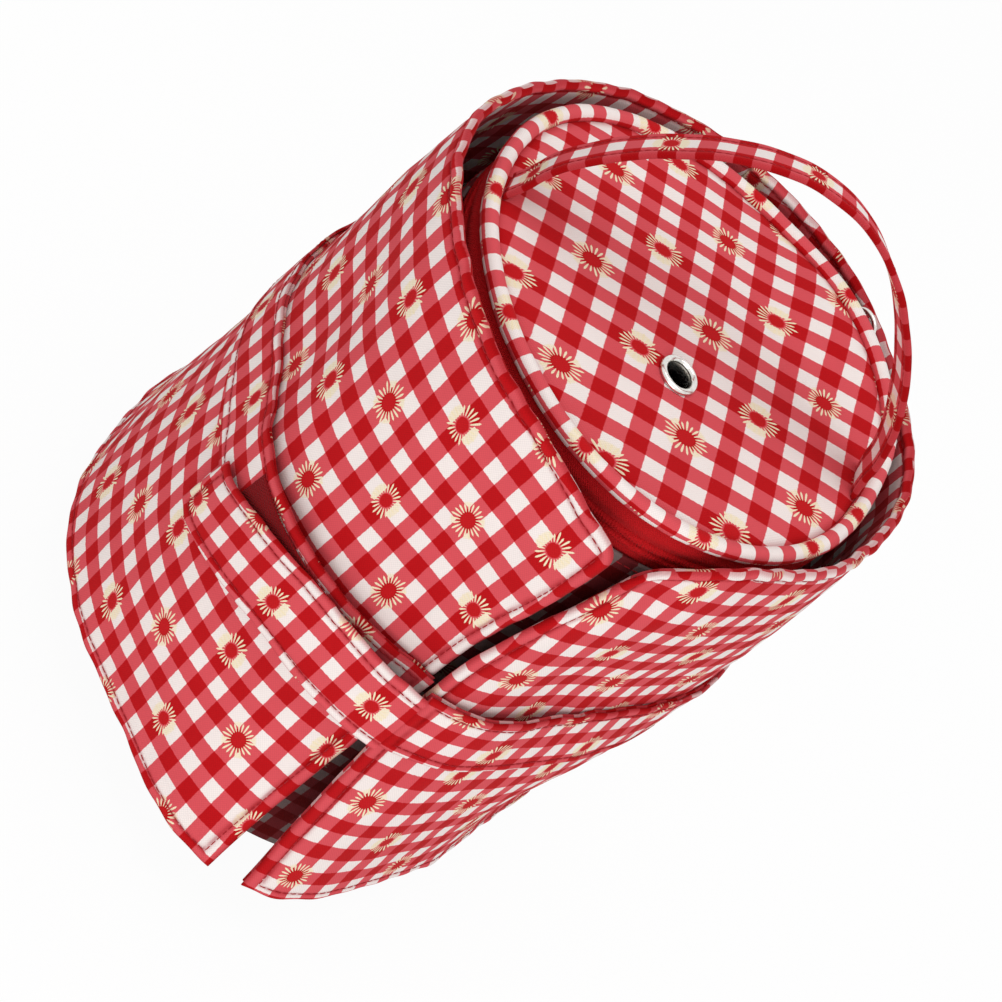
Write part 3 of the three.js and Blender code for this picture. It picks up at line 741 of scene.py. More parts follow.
def gingham(name, tint=None):
    """Printed cloth laid in checks by its cloth map, darkened by painted shade: per point, and by a tint."""
    look = bpy.context.scene.hook_case_cloth
    group = bpy.data.node_groups.get(PRINT_NAME) or gingham_group(look)
    material, tree, shader = new_material(name)
    cloth = cloth_map(tree)
    checks = add_node(tree, "ShaderNodeGroup", [("Cloth", cloth)], node_tree=group)
    # Painted shade: a mask per point darkens the print in stitched grooves, on folded edges and at the lid's
    # rim.
    seam = add_node(tree, "ShaderNodeAttribute", attribute_name="seam").outputs["Fac"]
    colour = blend_colour(tree, seam, checks.outputs["Color"], look.groove, "MULTIPLY")
    # Painted shade: a tint darkens the whole print, as on the bag's wall.
    if tint is not None:
        colour = blend_colour(tree, 1.0, colour, tint, "MULTIPLY")
    tree.links.new(colour, shader.inputs["Base Color"])
    creases = bump(tree, noise(tree, cloth, 2.0, 3.0), 0.25, 0.0006)
    tree.links.new(bump(tree, checks.outputs["Height"], 0.5, 0.00012, creases), shader.inputs["Normal"])
    shader.inputs["Roughness"].default_value = 0.86
    shader.inputs["Specular IOR Level"].default_value = 0.05
    shader.inputs["Sheen Weight"].default_value = 0.03
    shader.inputs["Sheen Roughness"].default_value = 0.5
    return material


def plain_cloth(name, colour, pitch, strength=0.5, roughness=0.85, fuzz=0.0):
    """Plain woven cloth or tape: fine ribs both ways on the piece's cloth map, uneven in tone."""
    material, tree, shader = new_material(name)
    plus, _, times, times_plus = sums(tree)
    cloth = cloth_map(tree)
    place = add_node(tree, "ShaderNodeSeparateXYZ", [("Vector", cloth)])
    weave = times(*(calc(tree, "SINE", times(place.outputs[k], 2 * math.pi / pitch)) for k in (0, 1)))
    fibres = noise(tree, cloth, 1400.0, 4.0)
    tone = times_plus(weave, 0.08, times_plus(noise(tree, cloth, 60.0), 0.3, 0.85))
    tone = times(tone, times_plus(fibres, fuzz, 1.0 - fuzz / 2))
    shade = blend_colour(tree, 1.0, (*colour, 1.0), grey(tree, tone), "MULTIPLY")
    tree.links.new(shade, shader.inputs["Base Color"])
    height = plus(weave, times(fibres, 0.5 + 3 * fuzz))
    tree.links.new(bump(tree, height, strength, 0.0002), shader.inputs["Normal"])
    shader.inputs["Roughness"].default_value = roughness
    shader.inputs["Specular IOR Level"].default_value = 0.15
    shader.inputs["Sheen Weight"].default_value = 0.02
    return material


def nickel_plate(name):
    """Polished nickel plate: faint cloudiness and fine scratches in its gloss."""
    look = bpy.context.scene.hook_case_metal
    material, tree, shader = new_material(name)
    place = add_node(tree, "ShaderNodeTexCoord").outputs["Object"]
    cloud = noise(tree, place, 420.0, 4.0)
    stretched = add_node(tree, "ShaderNodeMapping", [("Vector", place), ("Scale", (1.0, 9.0, 3.0))])
    scratch = noise(tree, stretched.outputs[0], 900.0)
    tree.links.new(calc(tree, "MULTIPLY_ADD", cloud, 0.22, look.gloss), shader.inputs["Roughness"])
    dull = [0.8 * c for c in look.nickel[:3]] + [1.0]
    tree.links.new(colour_steps(tree, cloud, (0.3, dull), (0.6, look.nickel)), shader.inputs["Base Color"])
    tree.links.new(bump(tree, scratch, 0.15, 0.00005), shader.inputs["Normal"])
    shader.inputs["Metallic"].default_value = 1.0
    return material


def stiffening_board(name):
    """Plain pale board, uneven in tone."""
    material, tree, shader = new_material(name)
    flecks = noise(tree, add_node(tree, "ShaderNodeTexCoord").outputs["Object"], 300.0, 5.0)
    tone = colour_steps(tree, flecks, (0.0, (0.6, 0.58, 0.53, 1)), (1.0, (0.8, 0.78, 0.73, 1)))
    tree.links.new(tone, shader.inputs["Base Color"])
    shader.inputs["Roughness"].default_value = 0.85
    return material


def once(name, maker, *args, **settings):
    """The material of that name, made if it isn't there yet."""
    return bpy.data.materials.get(name) or maker(name, *args, **settings)


def print_cloth():
    """Printed cotton of the bag and the case."""
    return once("Gingham Cloth", gingham)


def one_colour(name, key, *weave):
    """Plain cloth in a colour of the sidebar, with the pitch, strength, roughness and fuzz of its weave."""
    colour = getattr(bpy.context.scene.hook_case_cloth, key)[:3]
    return once(name, plain_cloth, colour, *weave)


# Red tape of the zip, dark red lining, fuzzy and dull hook and loop tape, and red sewing thread
zip_cloth = partial(one_colour, "Zip Tape", "zip_red", 0.0009, 0.7)
lining_cloth = partial(one_colour, "Dark Red Lining", "lining", 0.0007, 0.4)
touch_cloth = partial(one_colour, "Touch Tape", "touch", 0.0012, 1.0, 0.95, 0.5)
thread = partial(one_colour, "Red Thread", "thread", 0.0004, 0.3, 0.6)


def nickel():
    """Nickel plate of the eyelet, slider and ring."""
    return once("Nickel Plate", nickel_plate)


def colour_prop(name, description, colour):
    """Colour that the sidebar shows."""
    return FloatVectorProperty(
        name=name, description=description, subtype="COLOR", size=4, default=(*colour, 1.0))


class ClothLook(bpy.types.PropertyGroup):
    """Print and colours of the cloth."""
    yarns: FloatProperty(name="Yarns", description="Yarns to one check of the gingham", default=26.0)
    repeat_u: FloatProperty(
        name="Repeat Across", description="Checks from daisy to daisy across", default=4.0)
    repeat_v: FloatProperty(name="Repeat Up", description="Checks from daisy to daisy up", default=3.0)
    daisy_r: FloatProperty(name="Daisy Radius", description="Reach of the petals, in checks", default=0.54)
    petals: FloatProperty(name="Petals", description="Number of petals of a daisy", default=21.0)
    white: colour_prop("White", "Unprinted squares", (0.85, 0.76, 0.73))
    middle: colour_prop("Middle Red", "Squares where one stripe runs", (0.65, 0.080, 0.096))
    dark: colour_prop("Dark Red", "Squares where both stripes cross", (0.46, 0.005, 0.008))
    petal: colour_prop("Petal", "Cream of the petals", (0.84, 0.72, 0.50))
    disc: colour_prop("Disc", "Middle of a daisy", (0.50, 0.009, 0.012))
    # Painted shade: the colour that stitched grooves, folded edges and the lid's rim are darkened toward.
    groove: colour_prop("Groove", "Painted shade of the cloth in grooves and at edges", (0.62, 0.3, 0.32))
    # Painted shade on the bag's wall, for the shade it lies in behind the case and in the front slit.
    wall: colour_prop("Wall Painted Shade", "Painted shade that darkens the print on the bag's wall", (0.20, 0.16, 0.16))
    zip_red: colour_prop("Zip Red", "Zip tape", (0.50, 0.006, 0.009))
    lining: colour_prop("Lining", "Lining of the bag", (0.27, 0.012, 0.016))
    thread: colour_prop("Thread", "Sewing thread", (0.36, 0.01, 0.016))
    touch: colour_prop("Touch Tape", "Hook and loop tape", (0.2, 0.003, 0.005))


class MetalLook(bpy.types.PropertyGroup):
    """Finish of the metal."""
    nickel: colour_prop("Nickel", "Colour of the plate", (0.80, 0.78, 0.74))
    gloss: FloatProperty(
        name="Roughness", description="Least roughness of the plate", default=0.1, min=0.0, max=1.0)


class SewnSizes(bpy.types.PropertyGroup):
    """Sizes of the sewn pieces."""
    strap_tall: FloatProperty(
        name="Strap Height", description="Top of the handle over the lid", default=STRAP_H * MM,
        unit="LENGTH")
    piping: FloatProperty(
        name="Piping Radius", description="Half the thickness of the lid's piping", default=CORD_T * MM,
        unit="LENGTH")


class StageLook(bpy.types.PropertyGroup):
    """Floor, light and background."""
    floor: colour_prop("Floor", "Colour of the floor", (0.9, 0.9, 0.9))
    sky: FloatProperty(name="Sky", description="Strength of the even light from all round", default=0.62)
    key: FloatProperty(
        name="Key Lamp", description="Power of the lamp over the lid", default=4.1, unit="POWER")
    fill: FloatProperty(name="Fill Lamp", description="Power of the lamp in front", default=4.9, unit="POWER")


# Case
ROUND = 314.0
STEP_ROUND = 1.25
STEP_UP = 3.4
ROLL_R = 100.0
FOLD_START = tuple(polar(105.0, FOLD_AZ + 11, 130.0) * MM)
FOLD_END = tuple(polar(105.0, FOLD_AZ - 11, 130.0) * MM)


def case_layer(side, low, high, outside, thick, corner=0.0, close=0.0):
    """Grid of one layer of the case. Columns run from the free front edge to the sewn join at the back, rows
    from low to high, and they come down where the upper edge sags toward the free corner. The layer's outer
    face lies outside(az, h, side) from the panel's, and close draws it in toward its front and back.
    Returns the middle surface, azimuths, heights, and the distances to the free edge and to the join at the
    back."""
    edge, flare, back = SIDES[side][:3]
    share, rise = np.meshgrid(
        lines(ROUND, STEP_ROUND) / ROUND, lines(high - low, STEP_UP) / (high - low), indexing="ij")
    reach = share * ROUND
    corner_drop = corner - np.sqrt(np.maximum(corner ** 2 - (corner - reach) ** 2, 0))
    h = low + (high - np.where(reach < corner, corner_drop, 0) - low) * rise
    top, bottom = high - h, h - low
    deep, wide = SIDES[side].sag
    inside = share * np.abs(back - edge(h))
    h = h - deep * np.clip(1 - inside / wide, 0, 1) ** 2 * smooth(SAG_LOW, CASE_TOP, h)

    az = mix(edge(h), back, share)
    reach = np.abs(az - edge(h)) * np.radians(1) * CASE_R_TOP
    behind = np.abs(back - az) * np.radians(1) * CASE_R_TOP
    free = np.minimum(reach, top)
    if corner:
        rounded = corner - np.hypot(corner - reach, corner - top)
        free = np.where((reach < corner) & (top < corner), rounded, free)
    free = np.maximum(np.minimum(free, bottom), 0)

    along = np.radians(az) * ROLL_R
    out = outside(az, h, side)
    if close:
        out = mix(PLY_T, out, mix(1 - close, 1, smooth(0, 34, reach) * smooth(0, 20, behind)))
    soft = waver(CASE_WAVE, along, h) * smooth(0, 30, behind) + waver(CASE_CREASE, along, h)
    loose = free if low == 0 else np.minimum(reach, np.maximum(top, 0))
    soft = soft + waver(CASE_EDGE_WAVE, along, 0.3 * h) * np.exp(-loose / 5.0)
    radius = case_radius(az, h, side) + flare(az, h) + out - thick / 2 + soft
    return polar(radius, az, h + BASE_Z), az, h, free, behind


def case_sheet(name, side, low, high, outside, thick, swell, corner=0.0, close=0.0, inner_shift=(0.0, 0.0)):
    """One layer of the case as a closed cloth with rounded, stitched edges. Returns it and its stitch lines:
    the key is the face, 1 outer or -1 inner, and the edge."""
    middle, az, h, free, behind = case_layer(side, low, high, outside, thick, corner, close)
    cut = groove(free, np.radians(az) * ROLL_R + h)
    half = hem(free, thick, swell, cut, thick / 2 + swell) * rim(behind, 1.1)
    # Painted shade: darker in the stitched groove and along the folded edges.
    seam = np.clip(cut + edge_shade(free), 0, 1)
    uv = cone_cloth(az, h, side, name.removesuffix("_cloth"))
    piece = closed_sheet(name, middle, half, uv, print_cloth(), seam=seam, inner_shift=inner_shift)
    k = STITCH_LINE
    cols, rows = slice(k, middle.shape[0] - 3), slice(k, middle.shape[1] - k)
    runs = {}
    for way, face in cloth_faces(middle, half).items():
        runs[way, "hem"] = stitch_run(face, cols, k)
        runs[way, "top"] = stitch_run(face, cols, middle.shape[1] - 1 - k)
        runs[way, "front"] = stitch_run(face, k, rows)
    return piece, runs


def fit_to_side(piece, side, *nodes):
    """The left side rides on the bag, and the wing's cloth has its place baked into its mesh."""
    if side == "left":
        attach(piece, "bag")
    else:
        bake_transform(piece)
    if nodes:
        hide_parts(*nodes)


class HOOKCASE_OT_case_panels(bpy.types.Operator):
    """Two-ply panels of the case, hemmed and topstitched on every free edge."""
    bl_idname = "hookcase.case_panels"
    bl_label = "Case Panels"

    def execute(self, context):
        """Makes both panels: the case's own surface, with nothing added outside it."""
        for side, nodes in (("left", ("case_panel", "case_lining")), ("wing", ("wing_panel", "wing_lining"))):
            piece, runs = case_sheet(
                side + "_panel_cloth", side, 0.0, CASE_TOP, lambda az, h, side: 0 * h, CASE_PLIES,
                PANEL_SWELL, corner=CORNER_R, inner_shift=INNER_SHIFT)
            wanted = [runs[1, "top"], runs[1, "front"], runs[-1, "top"], runs[-1, "front"], runs[-1, "hem"]]
            stitches = stitch_rows(side + "_panel_stitches", wanted, thread())
            fit_to_side(piece, side, *nodes)
            fit_to_side(stitches, side)
        return {"FINISHED"}


class HOOKCASE_OT_case_pockets(bpy.types.Operator):
    """Outer pockets of the case and the bands along their mouths."""
    bl_idname = "hookcase.case_pockets"
    bl_label = "Case Pockets"

    def execute(self, context):
        """Makes the pocket and the band of both sides, each one thickness outside the one before."""
        for side, prefix, band_low, band_swell in (
                ("left", "case", BAND_LOW + LEFT_BAND_LIFT, 0.0), ("wing", "wing", BAND_LOW, POCKET_SWELL)):
            pocket, runs = case_sheet(
                side + "_pocket_cloth", side, 0.0, POCKET_TOP, pocket_out, PLY_T, POCKET_SWELL, close=0.8)
            band, edges = case_sheet(
                side + "_band_cloth", side, band_low, BAND_TOP, band_out, BAND_T, band_swell, close=0.5)
            wanted = [runs[1, "hem"], runs[1, "front"], edges[1, "hem"], edges[1, "top"]]
            stitches = stitch_rows(side + "_pocket_stitches", wanted, thread())
            fit_to_side(pocket, side, prefix + "_pocket")
            fit_to_side(band, side, prefix + "_pocket_band")
            fit_to_side(stitches, side)
        return {"FINISHED"}


def belt_middle(share, rise):
    """Middle surface of the belt: it carries the wing's band on across the front, sloping down and in to its
    end, and its rise lifts it off the band below."""
    guess = mix(BELT_END, BELT_ROOT, share)
    h = mix(BAND_LOW + through(BELT_LOW, guess, 5.0), BAND_TOP + through(BELT_TOP, guess, 5.0), rise)
    az = mix(BELT_END, edge_right(h) - 0.05, share)
    radius = case_radius(az, h, "left") + band_out(az, h, "left") + through(BELT_RISE, az, 3.0) - BELT_T / 2
    return az, h, radius


def hook_heights(az):
    """Lower and upper edge of the hook tape at an azimuth: about 4 mm inside the belt's."""
    return BAND_LOW + through(BELT_LOW, az, 5.0) + 4, POCKET_TOP + through(BELT_TOP, az, 5.0) - 4


def touch_tape(name, size, ends, between, outside, sewn=0.0):
    """Strip of hook or loop tape on the left side: its columns run between two azimuths and its rows between
    two heights, outside(az, h, along) from the band, and it is thinner along its stitching."""
    width, tall = size
    share, rise = np.meshgrid(lines(width, 1.6) / width, lines(tall, 1.6) / tall, indexing="ij")
    az = mix(*ends, share)
    h = mix(*between(az), rise)
    edge = np.minimum(np.minimum(share, 1 - share) * width, np.minimum(rise, 1 - rise) * tall)
    radius = case_radius(az, h, "left") + band_out(az, h, "left") + outside(az, h, share * width)
    half = TOUCH_T / 2 * rim(edge, 0.6) * (1 - sewn * groove(edge, share * width + h))
    uv = np.stack([share * width, rise * tall], -1) * MM
    return closed_sheet(name, polar(radius, az, h + BASE_Z), half, uv, touch_cloth())


class HOOKCASE_OT_closure_belt(bpy.types.Operator):
    """Belt that closes the case across the front, with its hook tape, and the loop tape that it holds to."""
    bl_idname = "hookcase.closure_belt"
    bl_label = "Closure Belt"

    def execute(self, context):
        """Makes the belt with its stitches, and both tapes."""
        share, rise = np.meshgrid(
            lines(BELT_LONG, 1.1, True, False) / BELT_LONG, lines(BELT_WIDE, 1.1) / BELT_WIDE, indexing="ij")
        az, h, radius = belt_middle(share, rise)
        end, low, high = share * BELT_LONG, rise * BELT_WIDE, (1 - rise) * BELT_WIDE
        free = np.minimum(np.minimum(end, low), high)
        cut = groove(free, end + low)
        radius = radius + waver(BELT_WAVE, end, low) + waver(BELT_EDGE_WAVE, end, low) * np.exp(-free / 4.0)
        middle = polar(radius, az, h + BASE_Z)
        half = hem(free, BELT_T, 0.35, cut, BELT_T / 2 + 0.3)
        uv = cone_cloth(az, mix(BAND_LOW, POCKET_TOP, rise), "wing", "belt")
        # Painted shade: darker in the stitched groove and along the folded edges.
        seam = np.clip(cut + edge_shade(free), 0, 1)
        belt = closed_sheet("closure_belt_cloth", middle, half, uv, print_cloth(), seam=seam)
        face, k = cloth_faces(middle, half)[1], STITCH_LINE
        runs = [stitch_run(face, slice(k, None), k), stitch_run(face, slice(k, None), -1 - k),
                stitch_run(face, k, slice(k, -k))]
        stitches = stitch_rows("belt_stitches", runs, thread())
        start, stop = (tuple(polar(110.0, a, 130.0) * MM) for a in (-67.0, -75.0))
        for piece in (belt, stitches):
            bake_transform(piece)
        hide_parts("closure_belt")

        loop = touch_tape(
            "loop_tape", LOOP_SIZE, LOOP_AZ, lambda az: (BAND_LOW + 6, POCKET_TOP - 3),
            lambda az, h, along: SEAM_GAP + TOUCH_T / 2 + waver(LOOP_WAVE, along, h), sewn=0.3)
        fit(loop, "bag", "touch_tape", "loop_strip")
        hook = touch_tape(
            "hook_tape", HOOK_SIZE, HOOK_AZ, hook_heights,
            lambda az, h, along: through(BELT_RISE, az, 3.0) - BELT_T - 0.1 - TOUCH_T / 2)
        fit(hook, "belt", "touch_tape", "hook_strip")
        return {"FINISHED"}


# Bag
LINING_T = 1.0
LINING_LOW_Z = 6.6
# Of the base and its lining: how far inside the wall they end, and height of their middle
BASE_IN, BASE_Z_MIDDLE = 2.2, 0.6
BASE_LINING_IN, BASE_LINING_Z = 3.4, 4.8


def turned(name, profile, columns, material, unit_size=MM, uneven=None):
    """Closed solid turned round the bag's axis from a closed profile of (radius, z) points, moved in and out
    by an unevenness of azimuth and height."""
    az = np.arange(columns + 1) * 360.0 / columns
    radius, z = profile[:, 0], profile[:, 1]
    bend = uneven(az[:-1, None], z[None]) if uneven else 0.0
    rings = polar(radius[None] + bend, az[:-1, None], z[None] + 0 * az[:-1, None])
    step = np.linalg.norm(np.diff(np.vstack([profile, profile[:1]]), axis=0), axis=1)
    round_it = np.concatenate([[0], np.cumsum(step)])
    u = np.radians(az)[:, None] * radius.mean() + 0 * round_it[None]
    v = round_it[None] + 0 * u
    return closed_tube(name, rings, material, np.stack([u, v], -1) * unit_size)


def rounded_profile(r0, z0, r1, z1, thick, steps):
    """Closed profile of a wall from (r0, z0) to (r1, z1), its thickness inward, with half circles at
    both ends."""
    t = np.linspace(0, 1, steps)
    outer = np.stack([mix(r0, r1, t), mix(z0, z1, t)], 1)
    turn_over = np.radians(np.linspace(0, 180, 9)[1:-1])
    cap_r, cap_z = thick / 2 * np.cos(turn_over), thick / 2 * np.sin(turn_over)
    top = np.stack([r1 - thick / 2 + cap_r, z1 + cap_z], 1)
    bottom = np.stack([r0 - thick / 2 - cap_r, z0 - cap_z], 1)
    return np.concatenate([outer, top, outer[::-1] - [thick, 0], bottom])


def disc_piece(name, radius, z, thick, material, unit_size=MM, crown=0.0):
    """Round flat cloth closed at its middle, crowned in a parabola: rows run from near the middle to the
    rounded rim on both faces."""
    edge = radius - np.array(EDGE_LINES)[::-1]
    r = np.concatenate([np.linspace(0.001, edge[0], 24)[:-1], edge])
    az = np.arange(181) * 2.0
    half = thick / 2 * rim(radius - r, thick / 2) * (1 - 0.3 * np.exp(-((radius - r - STITCH_IN) / 0.7) ** 2))
    middle = polar(r[None], az[:-1, None], z + crown * (1 - (r / radius) ** 2)[None] + 0 * az[:-1, None])
    place = (polar(r[None], az[:, None], 0 * r[None])[..., :2] * unit_size).reshape(-1, 2)
    cols, rows = len(az) - 1, len(r)
    total = cols * rows
    points = np.concatenate([(middle + [0, 0, s] * half[None, :, None]).reshape(-1, 3) for s in (1, -1)])
    quads, index = lattice(cols, rows, True)
    inner = np.arange(cols) * rows
    shared = np.arange(2 * total)
    shared[inner + rows - 1 + total] = inner + rows - 1
    faces = [quads, shared[(quads + total)[:, ::-1]], inner[None], (inner + total)[None, ::-1]]
    corner_uv = [place[index], place[index[:, ::-1]], place[inner][None], place[inner][None, ::-1]]
    return make_piece(name, points, faces, corner_uv, material)


class HOOKCASE_OT_bag(bpy.types.Operator):
    """Bag wall, its lining, and the base."""
    bl_idname = "hookcase.bag"
    bl_label = "Bag"

    def execute(self, context):
        """Turns the wall and its lining round the axis, and lays the base and its lining flat."""
        # Painted shade: the wall's print is darkened all over by the wall tint, for the shade it lies in
        # behind the case.
        shaded_wall_cloth = once("Dull Gingham Cloth", gingham, context.scene.hook_case_cloth.wall)
        profile = rounded_profile(BAG_R_BASE, 0.8, BAG_R_TOP, BAG_TOP_Z - 0.7, WALL_T, 70)
        wall = turned(
            "bag_wall_cloth", profile, 300, shaded_wall_cloth, 1 / CHECK,
            lambda az, z: waver(WALL_WAVE, np.radians(az) * 86, z) * np.sin(np.radians(az)) ** 2)
        fit(wall, "bag", "outer_cloth", "bag_wall")
        inside = WALL_T + SEAM_GAP
        low, high = LINING_LOW_Z, TAPE_LOW_Z - SEAM_GAP
        profile = rounded_profile(
            bag_radius(low) - inside, low, bag_radius(high) - inside, high, LINING_T, 60)
        lining = turned(
            "bag_lining_cloth", profile, 240, lining_cloth(), MM,
            lambda az, z: -0.3 - waver(LINING_WAVE, np.radians(az) * 80, 0.2 * z))
        fit(lining, "bag", "lining_cloth", "bag_lining")
        base = disc_piece("base_cloth", BAG_R_BASE - BASE_IN, BASE_Z_MIDDLE, PLY_T, print_cloth(), 1 / CHECK)
        fit(base, "bag", "outer_cloth", "base_panel")
        floor = disc_piece(
            "base_lining_cloth", BAG_R_BASE - BASE_LINING_IN, BASE_LINING_Z, LINING_T, lining_cloth(),
            crown=0.3)
        fit(floor, "bag", "lining_cloth", "base_lining")
        return {"FINISHED"}


# Lid
LID_LINING_Z = 234.4
# Print on the lid: its skew and bow along the grain, and its stretch and bow across it
LID_SKEW, LID_BOW, LID_STRETCH, LID_BOW_ACROSS = 0.036, 0.0004, 1.008, 0.00072
LID_EDGE_LINES = np.array([0, 0.001, 0.003, 0.006, 0.01, 0.016, 0.024, 0.034, 0.046, 0.06, 0.08])


def ring_about_eyelet(inner_r, outer_r, rows, columns=220):
    """Grid between the eyelet's circle and the lid's rim: straight lines from one circle to the other."""
    az = np.radians(np.arange(columns) * 360.0 / columns)
    heading = np.stack([np.cos(az), np.sin(az)], -1)
    start, end = EYELET + inner_r * heading, outer_r * heading
    return start[:, None] + (end - start)[:, None] * rows[None, :, None]


def lid_print(plane):
    """Place on the print in checks from a place on the lid in mm: the grain lies turned from +X, a little
    askew and bowed."""
    turned_by = math.radians(LID_GRAIN)
    x = plane[..., 0] * math.cos(turned_by) + plane[..., 1] * math.sin(turned_by)
    y = plane[..., 1] * math.cos(turned_by) - plane[..., 0] * math.sin(turned_by)
    along = x - LID_DAISY[0] - LID_SKEW * y + LID_BOW * y ** 2
    across = LID_STRETCH * y - LID_DAISY[1] + LID_BOW_ACROSS * y ** 2
    return np.stack([(across - LID_LEAN * along) / LID_CHECK_U + 0.5, along / LID_CHECK_V], -1)


def lid_sheet(name, outer_r, z, thick, material, shape, place, seam=None, bulge=0.0):
    """Round cloth pierced by the eyelet, shaped by a height over each point, its rim bulged by a share."""
    rows = np.concatenate([LID_EDGE_LINES[:7], np.linspace(0.04, 0.86, 40), 1 - LID_EDGE_LINES[::-1]])
    plane = ring_about_eyelet(EYELET_HOLE_R + 0.5, outer_r, rows)
    radius = np.linalg.norm(plane, axis=-1)
    from_hole = np.linalg.norm(plane - EYELET, axis=-1) - EYELET_HOLE_R
    out, up = rim_shift(np.degrees(np.arctan2(plane[..., 1], plane[..., 0])))
    share = smooth(35, 77, radius) * bulge
    height = z + shape(plane, radius, from_hole) + up * share
    plane = plane * (1 + out * share / np.maximum(radius, 1))[..., None]
    middle = np.concatenate([plane, height[..., None]], -1)
    free = np.minimum(outer_r - radius, from_hole - 0.5)
    half = thick / 2 * rim(np.maximum(free, 0), thick / 2)
    half[:, 0] = 0
    half[:, -1] = 0
    uv = place(np.concatenate([plane, plane[:1]]))
    return closed_sheet(name, middle, half, uv, material, wrap=True, seam=seam and seam(radius))


def lid_top(plane, radius, from_hole):
    """Height of the lid's cloth: a slight dome, drawn down at the rim, puckered there, pulled in round the
    eyelet and softly uneven."""
    az = np.arctan2(plane[..., 1], plane[..., 0])
    dome = -0.5 * (radius / LID_R) ** 2 - 0.8 * smooth(LID_R - 5, LID_R + 1.2, radius) ** 2
    pucker = waver(LID_PUCKER, az * 76, 0 * az) * smooth(LID_R - 13, LID_R - 1, radius)
    pulled = -0.35 * np.exp(-((from_hole - 3.2) / 2.2) ** 2)
    return dome + pucker + pulled + waver(LID_WAVE, plane[..., 0], plane[..., 1])


def lid_under(plane, radius, _):
    """Height of the lid's lining: a slight dome, softly uneven."""
    return 0.3 - 0.3 * (radius / LID_R) ** 2 + waver(LID_UNDER_WAVE, plane[..., 0], plane[..., 1])


class HOOKCASE_OT_lid(bpy.types.Operator):
    """Lid cloth, its lining, and the piping sewn round its rim."""
    bl_idname = "hookcase.lid"
    bl_label = "Lid"

    def execute(self, context):
        """Makes both round cloths, and the piping as a circle carried round the lid's uneven rim."""
        # Painted shade: the lid's cloth darkens at its rim, in the crease against the piping.
        panel = lid_sheet(
            "lid_cloth", LID_R + 1.4, LID_Z - PLY_T / 2 + 0.1, PLY_T, print_cloth(), lid_top, lid_print,
            seam=lambda radius: smooth(LID_R - 1.6, LID_R + 1.0, radius) * 0.6, bulge=1.0)
        fit(panel, "lid", "outer_cloth", "lid_panel")
        under = lid_sheet(
            "lid_lining_cloth", LID_R + 1.2, LID_LINING_Z, LINING_T, lining_cloth(), lid_under,
            lambda plane: plane * MM)
        fit(under, "lid", "lining_cloth", "lid_lining")

        columns, sides = 620, 22
        thick = context.scene.hook_case_sizes.piping / MM
        az = np.arange(columns + 1) * 360.0 / columns
        around = np.radians(np.arange(sides + 1) * 360.0 / sides)
        arc = np.radians(az) * CORD_R
        cord = thick * (1 + waver(CORD_WAVE, arc, 0 * arc) + waver(CORD_FINE_WAVE, arc, 0 * arc))
        pressed = 0.05 * np.exp(-((np.cos(around[:-1] - np.radians(200)) - 1) / 0.2) ** 2)
        cord = cord[:-1, None] * (1 - pressed[None])
        wave = waver(PIPING_WAVE, arc, 0 * arc)[:-1, None]
        out, up = rim_shift(az[:-1, None])
        rings = polar(CORD_R + out + cord * np.cos(around[:-1])[None], az[:-1, None],
                      PIPING_Z + up + wave + cord * np.sin(around[:-1])[None])
        u = arc[:, None] / LID_CHECK_U + 0 * around[None]
        v = (around[None] - np.pi / 2) * thick / CHECK + 0 * arc[:, None]
        piping = closed_tube("lid_piping_cord", rings, print_cloth(), np.stack([u, v], -1))
        fit(piping, "lid", "piping_cloth", "lid_piping")
        return {"FINISHED"}


class HOOKCASE_OT_eyelet(bpy.types.Operator):
    """Rolled eyelet through the lid, and its washer."""
    bl_idname = "hookcase.eyelet"
    bl_label = "Eyelet"

    def execute(self, context):
        """Makes the flange as part of a flattened circle with the barrel under it, and the domed washer."""
        seat, back = LID_Z + 0.15, 232.0
        roll = np.radians(np.linspace(-38, 205, 22))
        mid_r, high = (EYELET_HOLE_R + EYELET_R) / 2 + 0.1, 1.45
        curl_r = mid_r + (EYELET_R - mid_r) * np.cos(roll)
        curl_z = seat + 0.2 + high * 0.85 * np.maximum(np.sin(roll), -0.15)
        wall_r = EYELET_HOLE_R + 0.55
        barrel = [(EYELET_HOLE_R, seat - 1.0), (EYELET_HOLE_R, back - 0.2), (EYELET_HOLE_R + 0.2, back - 0.7),
                  (wall_r, back - 0.7), (wall_r, seat - 0.3)]
        flange = np.stack([curl_r, curl_z], 1)
        self.turn_metal("eyelet_ring", np.concatenate([flange, barrel]), "eyelet")
        washer = [(5.45, 0.0), (5.7, -0.8), (6.4, -1.0), (7.0, -0.75), (7.3, -0.2), (7.2, 0.05), (5.5, 0.1)]
        self.turn_metal("eyelet_back_ring", np.array(washer) + [0, back], "eyelet_washer")
        return {"FINISHED"}

    def turn_metal(self, name, profile, node):
        """Closed ring turned round the eyelet's axis from a profile of (radius, z)."""
        columns = 72
        az = np.arange(columns) * 360.0 / columns
        rings = polar(profile[None, :, 0], az[:, None], profile[None, :, 1] + 0 * az[:, None])
        rings[..., :2] += EYELET
        ring = closed_tube(name, rings, nickel())
        fit(ring, "lid", "nickel", node)


# Zip
TAPE_T = 1.0
COIL_AT, COIL_WIDE, COIL_HIGH, COIL_RIB, COIL_PITCH = 1.55, 1.05, 1.25, 0.28, 1.1
UPPER_BULGE = 1.2


